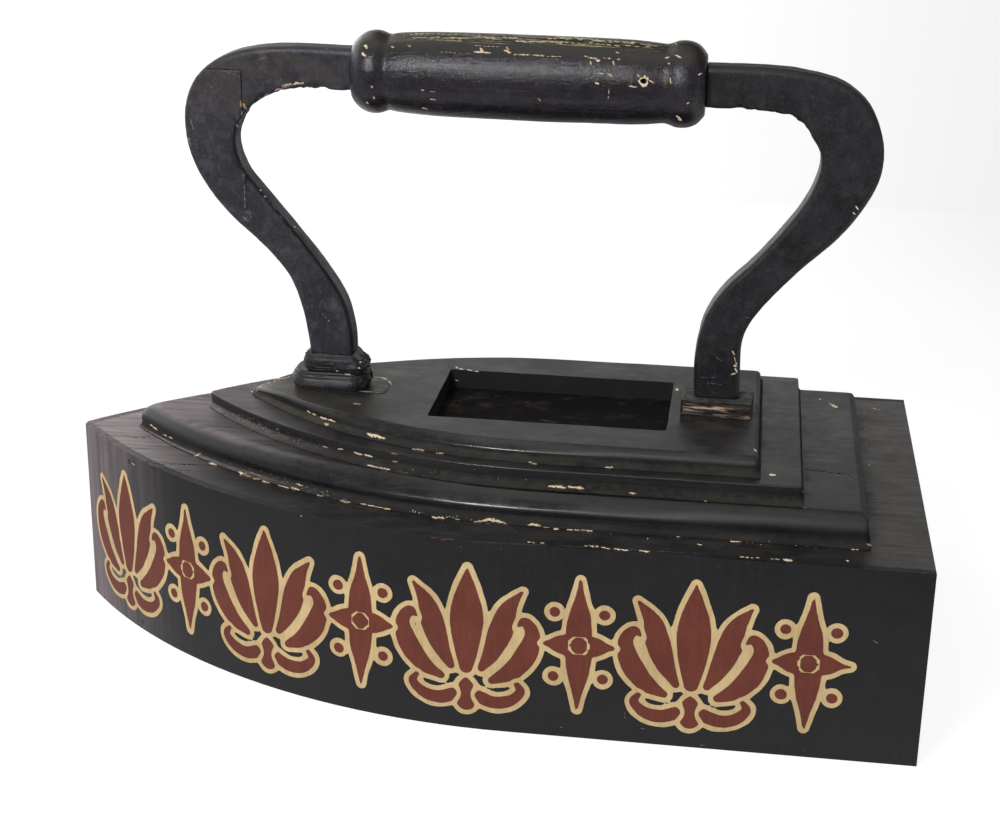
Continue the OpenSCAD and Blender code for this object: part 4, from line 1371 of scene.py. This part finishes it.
def floor_mirror(g):
    """White under and behind the sign, dim in front of the table's edge and behind at the right."""
    behind = g.times(g.along("Y", 0.15, 0.4), g.along("X", -0.3, -0.05, 0.0, 0.75))
    white = g.times(g.along("Y", -0.62, -0.3, 0.22, 1.0), g.math("SUBTRACT", 1.0, behind),
                    g.along("X", -0.6, -0.25, 0.5, 1.0))
    return g.math("MAXIMUM", white, g.along("X", -0.7, -0.15, 0.55, 0.0))


def floor_shown(g):
    """Painted shade: a little less white towards the back at the right, so that the wall's foot shows
    there.
    """
    back = g.along("Y", 0.2, 1.3, 0.0, 0.15)
    return g.math("SUBTRACT", FLOOR_WHITE, g.times(back, g.along("X", 0.1, 0.7)))


def wall_mirror(g):
    """Brightest at the left, and dim higher up and at the right."""
    far_left = g.along("X", -0.95, -0.45, 1.9, 0.0)
    side = g.math("ADD", far_left, g.along("X", -0.6, 0.1, 1.2, 0.84))
    height = g.along("Z", 0.7, 0.95, 1.0, 0.12)
    left = g.along("X", -0.75, -0.35, 0.42, 0.0)
    return g.times(side, g.along("X", 0.35, 0.75, 1.0, 0.4), g.math("MAXIMUM", height, left))


def wall_shown(g):
    # Painted shade: less white towards the right.
    return g.along("X", -0.4, 0.8, 0.95, 0.71)


# Each lamp: how far round to the left of the front and how high, in degrees, how far
# away in metres, its width and height in metres, and how bright it is, where 1 is white
LAMPS = {
    "key": (17, 36, 2.0, (0.4, 0.32), 42.0),
    "key_haze": (14, 32, 2.5, (2.1, 1.7), 0.6),
    "overhead": (0, 88, 2.2, (2.0, 1.6), 0.6),
    "left_side": (96, 22, 2.2, (2.0, 1.6), 0.9),
}
LAMP_AIM = Vector((0.0, 0.0, 0.2))
WORLD = 0.28
# How bright the world is where the camera sees it past the sheets
WORLD_SHOWN = 0.93


def make_studio():
    floor = sheet("floor_sheet", floor_shown, floor_mirror)
    wall = sheet("wall_sheet", wall_shown, wall_mirror)
    stage_plane("floor", (FLOOR_FRONT, 0), (WALL_Y, 0), floor)
    stage_plane("wall", (WALL_Y, 0), WALL_TOP, wall)
    for name, (round_left, high, away, size, bright) in LAMPS.items():
        turn, rise = math.radians(round_left), math.radians(high)
        way = Vector((-math.sin(turn) * math.cos(rise), -math.cos(turn) * math.cos(rise), math.sin(rise)))
        lamp = bpy.data.lights.new(name, "AREA")
        lamp.shape = "RECTANGLE"
        lamp.size, lamp.size_y = size
        lamp.energy = bright * math.pi * size[0] * size[1]
        made = bpy.data.objects.new(name, lamp)
        at = LAMP_AIM + way * away
        aim = (LAMP_AIM - at).to_track_quat("-Z", "Y")
        made.matrix_world = Matrix.Translation(at) @ aim.to_matrix().to_4x4()
        scene.collection.objects.link(made)
    world = bpy.data.worlds.new("world")
    scene.world = world
    world.use_nodes = True
    tree = world.node_tree
    tree.nodes["Background"].inputs[0].default_value = (*WHITE, 1)
    path = tree.nodes.new("ShaderNodeLightPath")
    strength = tree.nodes.new("ShaderNodeMath")
    strength.operation = "MULTIPLY_ADD"
    strength.inputs[1].default_value = WORLD_SHOWN - WORLD
    strength.inputs[2].default_value = WORLD
    tree.links.new(path.outputs["Is Camera Ray"], strength.inputs[0])
    tree.links.new(strength.outputs[0], tree.nodes["Background"].inputs[1])


# What shows where, as pixels from and to, and a width in pixels
CREAM_CHIPS = [
    (150, 424, 158, 431, 1.1), (163, 434, 173, 439, 0.9), (194, 456.5, 201, 453.5, 1.8),
    (209, 463, 217, 465, 1.8), (238, 472, 251, 477, 4.2), (251, 477.5, 262, 480.5, 1.1),
    (262, 481, 270, 483, 2.1), (278, 485, 300, 491, 2.3), (309, 493, 332, 498.5, 1.9),
    (340, 500, 360, 504, 2.3), (360, 504, 390, 509, 1.8), (296, 483.5, 303, 486, 1.2),
    (431, 516.5, 446, 519, 1.6), (455, 519, 460, 519.5, 1.2), (474, 522, 488, 520.5, 2.4),
    (484, 519.5, 494, 521, 5.2), (490, 519.5, 503, 522.5, 5), (500, 522, 507, 524, 2.6),
    (526, 525.5, 542, 526, 2.2), (530, 524, 540, 525, 2.4), (543, 527.3, 556, 528.3, 1.1),
    (554, 528.3, 566, 529.2, 1.5), (566, 529.3, 580, 530, 1.2), (580, 530.2, 592, 531, 1.4),
    (672, 536, 680, 537, 1), (730, 541, 742, 541.5, 1.3), (697, 544, 702, 545, 0.8),
    (583, 545.5, 600, 547, 1.3), (600, 547.5, 612, 549, 1.5), (613, 548.5, 628, 550, 2.1),
    (632, 550.5, 650, 551.5, 1), (527, 542, 545, 543, 0.9), (740, 557, 760, 558, 0.8),
    (783, 559.5, 793, 560.5, 2.2), (770, 558.5, 780, 559.5, 0.9), (850, 549.5, 860, 549.5, 1.2),
    (867, 544, 872, 545.5, 1.7), (846, 560.5, 849, 561, 1.1), (322, 446, 333, 449.5, 1.2),
    (338, 449, 343, 449.5, 1.2), (354, 452, 372, 457, 2.3), (367, 465, 378, 467.5, 2.7),
    (378, 467.5, 390, 470, 2.7), (548, 486.3, 557, 486.8, 2.2), (555, 486.1, 566, 487.8, 3.2),
    (568, 486.6, 576, 487.5, 3), (575, 487.3, 584, 488.3, 3.4), (629, 493, 636, 493.5, 1.6),
    (801, 489, 804, 493, 1.4), (307, 411, 311, 413, 1.2), (312, 414, 316, 415, 1.3),
    (320, 417, 327, 419.5, 2.3), (327, 419, 336, 422, 1.9), (324, 424, 329, 424.5, 2.1),
    (367, 433, 373, 437, 4.6), (372, 434.5, 385, 438.5, 4.2), (412, 449, 418, 449.5, 1),
    (417, 449, 424, 450.5, 2.2), (436, 453, 444, 453.5, 1.1), (529, 462, 537, 464, 2.2),
    (605, 467.5, 613, 467.5, 2.8), (769, 474.5, 776, 475, 2), (754, 449, 757, 452, 1.4),
    (829, 403.5, 838, 407.5, 2), (819, 399, 821, 399.5, 1.4), (676, 388.5, 679, 390, 3.6),
    (868, 465, 870, 465.5, 1.2), (732, 351, 735, 355, 1.3), (734.5, 357, 735.5, 361, 0.9),
    (733.5, 365.5, 737, 366.5, 2.6), (735.5, 361.5, 737.5, 365, 1.6), (735, 368, 737, 373, 2.2),
    (731, 374.5, 736, 373.5, 1.3), (856, 206, 858.5, 210, 1.6), (853, 212, 855, 215, 1.4),
    (375, 377, 388, 379.5, 2.1), (388.5, 380, 391.5, 385, 1.8), (267, 380.5, 281, 378.5, 1.4),
    (251, 391, 253, 392, 1.6),
]
GRIP_CHIPS = [
    (474, 51, 491, 52.5, 2.2), (480, 48, 484, 53, 2.6), (504, 50, 511, 53, 1.9), (506, 46.5, 509, 50, 0.9),
    (588, 57.5, 597, 58.5, 1.2), (596, 60, 600, 61, 2.6), (603, 58, 611, 59, 0.9),
    (612, 58.5, 621, 59.5, 1.1), (590, 61, 591.5, 65, 1.3), (584, 56, 588, 57, 0.8),
    (613, 61, 614.5, 65, 1.3), (616, 52, 619, 53, 1), (607, 73, 613, 77, 1), (647, 79, 654, 83, 1.1),
    (640, 77, 637, 74.5, 1.1), (598, 73, 604, 74, 0.8), (595, 83, 599, 84, 1.5), (629, 86, 637, 87, 1.5),
    (420, 90, 435, 92, 0.9), (421, 108, 433, 111, 1.3), (430, 99, 436, 100, 0.7), (538, 98, 541, 102, 0.8),
    (609, 90, 608, 100, 0.6), (364, 45.5, 367.5, 48.5, 3.6), (362, 53, 366, 56, 3.2),
    (371, 86, 372.5, 88, 1.8), (373, 97, 374.5, 99, 1.5), (366, 102, 368.5, 104, 1.4),
    (665, 58, 669.5, 57, 1.7), (668, 63, 670, 64, 1.4), (675, 55, 682, 58, 1.6), (671, 40, 677, 45, 1.3),
    (698, 75, 702, 73, 1.6), (687, 104, 689.5, 102.5, 2.1), (678, 118, 682, 120.5, 2.8),
    (676, 116, 680, 118, 1.3), (670, 77, 671, 84, 0.9),
]
GRIP_RUBS = [
    (409, 34.5, 430, 33.5, 0.9), (412, 38, 456, 37, 1), (441, 38, 464, 39, 1.5), (484, 37, 503, 40, 1.1),
    (520, 41, 546, 42, 1.4), (546, 38, 590, 39.5, 1.3), (590, 40, 634, 43.5, 1.3),
    (556, 36.5, 566, 38, 1.8), (546, 42, 600, 43.5, 1.2), (600, 44.5, 652, 47, 1.2),
    (512, 54.5, 530, 55, 1), (530, 55.5, 545, 56, 0.8), (430, 33.5, 470, 35, 1), (470, 36, 520, 38, 1.2),
    (515, 41, 562, 43, 1.3), (560, 37, 600, 40, 1.4), (598, 40, 652, 43.5, 1.5), (562, 36, 567, 38, 2.2),
    (575, 43.5, 602, 46.5, 0.9), (640, 43.5, 657, 46.5, 0.9), (519, 54.5, 546, 55.5, 1.2),
    (545, 56, 563, 56.5, 0.9), (407, 45, 411, 46, 2), (391, 46, 394, 47.5, 2), (436, 40, 462, 41, 0.7),
    (470, 45, 500, 47, 0.7), (440, 52, 470, 53.5, 0.6),
]
TAN_CHIPS = [
    (391, 453, 398, 454.5, 1.4), (392, 461, 398, 462, 1.6), (704, 501, 707.5, 502, 1.4),
    (802, 507, 806, 508, 1.2), (250, 472, 262, 476, 0.9), (322, 494, 330, 496, 0.9),
    (864, 411, 866, 446, 0.8), (240.5, 101, 242.5, 117, 2), (243, 103, 247, 110, 2.6),
    (188, 136, 191, 147, 1.4), (253, 389.5, 258, 391, 1.8),
]
PINK_CHIPS = [
    (257, 388, 272, 382, 1.3), (272, 382, 291, 376.3, 0.9), (262, 95.5, 277, 90.5, 1.8),
    (275, 90.5, 290, 84.5, 3.4), (282, 86, 303, 83.5, 2.8), (126, 459.5, 136, 466, 0.8),
]
# White specks, partly real and partly painted glints, such as the white highlights on the upper collar's
# crumpled glossy side
WHITE_SPECKS_AND_GLINTS = [
    (344.5, 374, 351, 374.5, 1.9), (336, 371, 338, 371, 1.3), (359.5, 362, 361.5, 362.3, 2),
    (358, 368, 360, 368.3, 1.9), (260, 190, 261.5, 190.5, 1.6), (264, 196, 266.5, 197, 1.5),
    (190, 151, 192, 155, 1.2), (236.4, 124.2, 238, 127.6, 1.5), (294, 226, 296, 227.5, 1.2),
    (455, 367, 458, 368, 1.6), (455, 380, 458, 381, 1.2), (459, 368.5, 464, 369.5, 1.1),
    (467, 370, 473, 370.6, 1.1), (474, 371, 479, 371.6, 0.9),
]
DARK_CRACKS = [
    (209, 68.5, 240, 69.7, 0.7), (241.3, 70, 241.3, 97, 0.7), (145, 462, 165, 464.5, 0.7),
    (164, 464, 196, 464.5, 0.7), (125, 437, 150, 436, 0.6), (132, 440, 146, 437.5, 0.6),
    (120, 434, 137, 438, 0.5), (150, 468, 190, 471, 0.5), (805, 469, 850, 475, 0.7),
    (849, 475, 862, 483, 0.7), (128, 449, 150, 448, 0.5), (643.6, 81.2, 644.6, 81.2, 1.1),
]
RUST_SPOTS = [
    (922, 572.5, 925, 574, 2), (514, 532, 516.5, 533, 1.8), (718, 566.5, 720, 567.5, 1.2),
    (895, 756, 897, 757, 1), (460, 546.5, 461.5, 547.5, 1.2), (500.5, 548.5, 502, 549.5, 1.2),
    (803, 749.5, 805, 750.5, 1.1), (929, 570.5, 935, 572, 1.6), (104, 596.5, 106, 598, 1.3),
    (199, 658.5, 200.5, 660, 1.1), (915, 402, 917.5, 418, 0.8),
]
# Pale grey rubs, partly real wear and partly painted highlights: the thin lines along the box's top arris
# and the toe arm's top edge stand in for the light that the eased edges catch
GREY_RUBS_AND_HIGHLIGHTS = [
    (244.6, 172, 244.6, 190, 1.1), (244.6, 189, 245, 208, 1.2), (256.5, 185, 270, 203, 0.8),
    (271, 204, 288, 226, 0.7), (289, 228, 304, 247, 0.6), (207, 82, 222, 97, 0.7),
    (210, 90, 229, 101, 0.5), (213, 78, 219, 93, 0.5), (222, 71, 242, 77, 1), (190, 118, 194, 131, 1.4),
    (236, 116, 242, 129, 1), (196, 138, 197, 150, 0.7), (306, 353.6, 351, 354.2, 0.7),
    (240, 160, 243, 176, 0.5), (472, 541.8, 560, 545.7, 0.45), (560, 545.7, 640, 550.2, 0.45),
    (640, 550.2, 700, 553.6, 0.45), (45, 421, 100, 447, 0.5), (700, 378, 715, 377, 0.7),
    (706, 383, 722, 384.5, 0.7), (716, 357, 722, 361, 1), (745, 317, 750, 318, 1), (714, 296, 718, 301, 1),
    (266, 81.5, 271, 79.5, 1.2), (268, 83.5, 272, 82, 1), (275, 46.5, 290, 45.5, 0.9),
    (316, 48.5, 332, 49.5, 0.7), (330, 51, 349, 52.5, 0.7), (257, 60.5, 265, 57.5, 1.1),
]
RED_RUBS = [
    (430, 537.6, 447, 539.2, 2.2), (446, 539.2, 464, 541.4, 2.4), (464, 541.4, 472, 542, 1),
]
PALE_SCRATCHES = [
    (560, 727, 563, 728, 0.7), (595, 740, 599, 740.5, 0.7), (624, 712, 625, 718, 0.5),
    (873, 640, 878, 644, 0.6), (300, 517, 302, 515, 1.2), (468, 622, 470, 640, 0.4),
    (700, 745, 706, 745.5, 0.6), (640, 728, 645, 729, 0.5), (872, 408, 881, 410, 1),
    (353, 403.5, 361, 404, 1.3), (357, 392, 386, 392.3, 0.6), (322, 313, 330, 322, 0.6),
]


# Each kind of mark: its material, its strokes, and how far it stands off the surface
MARK_KINDS = {
    "cream_chips": (chip_cream, CREAM_CHIPS, 0.16),
    "grip_chips": (chip_cream, GRIP_CHIPS, 0.12),
    "grip_rubs": (rub_cream, GRIP_RUBS, 0.06),
    "tan_chips": (chip_tan, TAN_CHIPS, 0.1),
    "bare_splits": (chip_pink, PINK_CHIPS, 0.14),
    "white_specks_and_glints": (speck_white_and_glint, WHITE_SPECKS_AND_GLINTS, 0.2),
    "dark_cracks": (crack_dark, DARK_CRACKS, 0.05),
    "rust_spots": (rust_spot, RUST_SPOTS, 0.06),
    "pale_scratches": (chip_tan, PALE_SCRATCHES, 0.05),
    "grey_rubs_and_highlights": (rub_grey_and_highlight, GREY_RUBS_AND_HIGHLIGHTS, 0.05),
    "red_rubs": (rub_red, RED_RUBS, 0.08),
}
# Ragged rings, round the grip pin and round a bead of paint: the middle, inner and outer radius
RINGS = {
    "grip_chips": (644.0, 81.2, 2.9, 5.2),
    "grey_rubs_and_highlights": (247.3, 216.6, 2.3, 4.6),
}
# Strewn specks: a line of pixels from and to, their spread and count, and the least and largest
SCATTERS = {
    "cream_chips": ((395, 509, 475, 521, 0.8, 14, 0.5, 1.1), (236, 420, 300, 443, 1.6, 16, 0.4, 0.9),
                    (500, 527, 860, 549, 1.6, 18, 0.4, 0.9)),
    "tan_chips": ((215, 408, 320, 447, 1.8, 46, 0.5, 1.2), (400, 470, 800, 505, 2.5, 26, 0.5, 1.2),
                  (180, 447, 330, 496, 2.2, 40, 0.5, 1.2)),
    "grey_rubs_and_highlights": ((207, 78, 232, 102, 3.5, 26, 0.4, 0.9), (195, 110, 215, 165, 6, 22, 0.4, 0.9)),
}
# The brown rim that shows round a chip: its lift, and how many pixels it reaches beyond the chip
RIM_LIFT = 0.05
CHIP_RIM = 0.55
FIRST_SEED = 100


def make_marks():
    skin = Skin()
    for seed, strokes in enumerate((CREAM_CHIPS, GRIP_CHIPS), FIRST_SEED):
        rims = Marks(f"chip_rims_{seed}", chip_rim, skin, seed, RIM_LIFT, CHIP_RIM)
        for stroke in strokes:
            rims.stroke(*stroke)
        rims.finish()
    for seed, (name, (material, strokes, lift)) in enumerate(MARK_KINDS.items(), FIRST_SEED):
        marks = Marks(name, material, skin, seed, lift)
        for stroke in strokes:
            marks.stroke(*stroke)
        if name in RINGS:
            marks.ring(*RINGS[name])
        for scatter in SCATTERS.get(name, ()):
            marks.scatter(*scatter)
        marks.finish()


def make_pieces():
    reworked("toe_collar_low_lump", "toe_collar_lower", 0.5,
             lambda p, n: collar_shift(p, n, 81, -0.3, 0.5, 3.0, False, 0.24), collar_paint)
    reworked("toe_collar_high_lump", "toe_collar_upper", 0.5,
             lambda p, n: collar_shift(p, n, 91, 0.8, 2.4, 0.0, True, 0.45), collar_paint)
    reworked("toe_leg_sawn", "toe_post_leg", 0.9, leg_shift, toe_post_paint)
    reworked("toe_arm_sawn", "toe_post_arm", 0.9,
             lambda p, n: post_shift(p, n, 61, -176, -100), toe_post_paint)
    reworked("heel_post_sawn", "heel_post", 0.9,
             lambda p, n: post_shift(p, n, 51, 138, 216), heel_post_paint)
    reworked("grip_turned", "grip", 0.8, grip_shift, grip_paint)
    reworked("heel_plate_split", "heel_foot_plate", 0.6, plate_shift, split_paint)
    reworked("let_in_worn", "toe_foot_plate", 0.6,
             lambda p, n: layered(p, 41, (0.16, 5), (0.06, 1.6)), high_paint)


make_camera()
make_studio()
bpy.context.view_layer.update()
make_boards()
make_pieces()
make_frieze()
make_marks()
scene.view_settings.view_transform = "Standard"
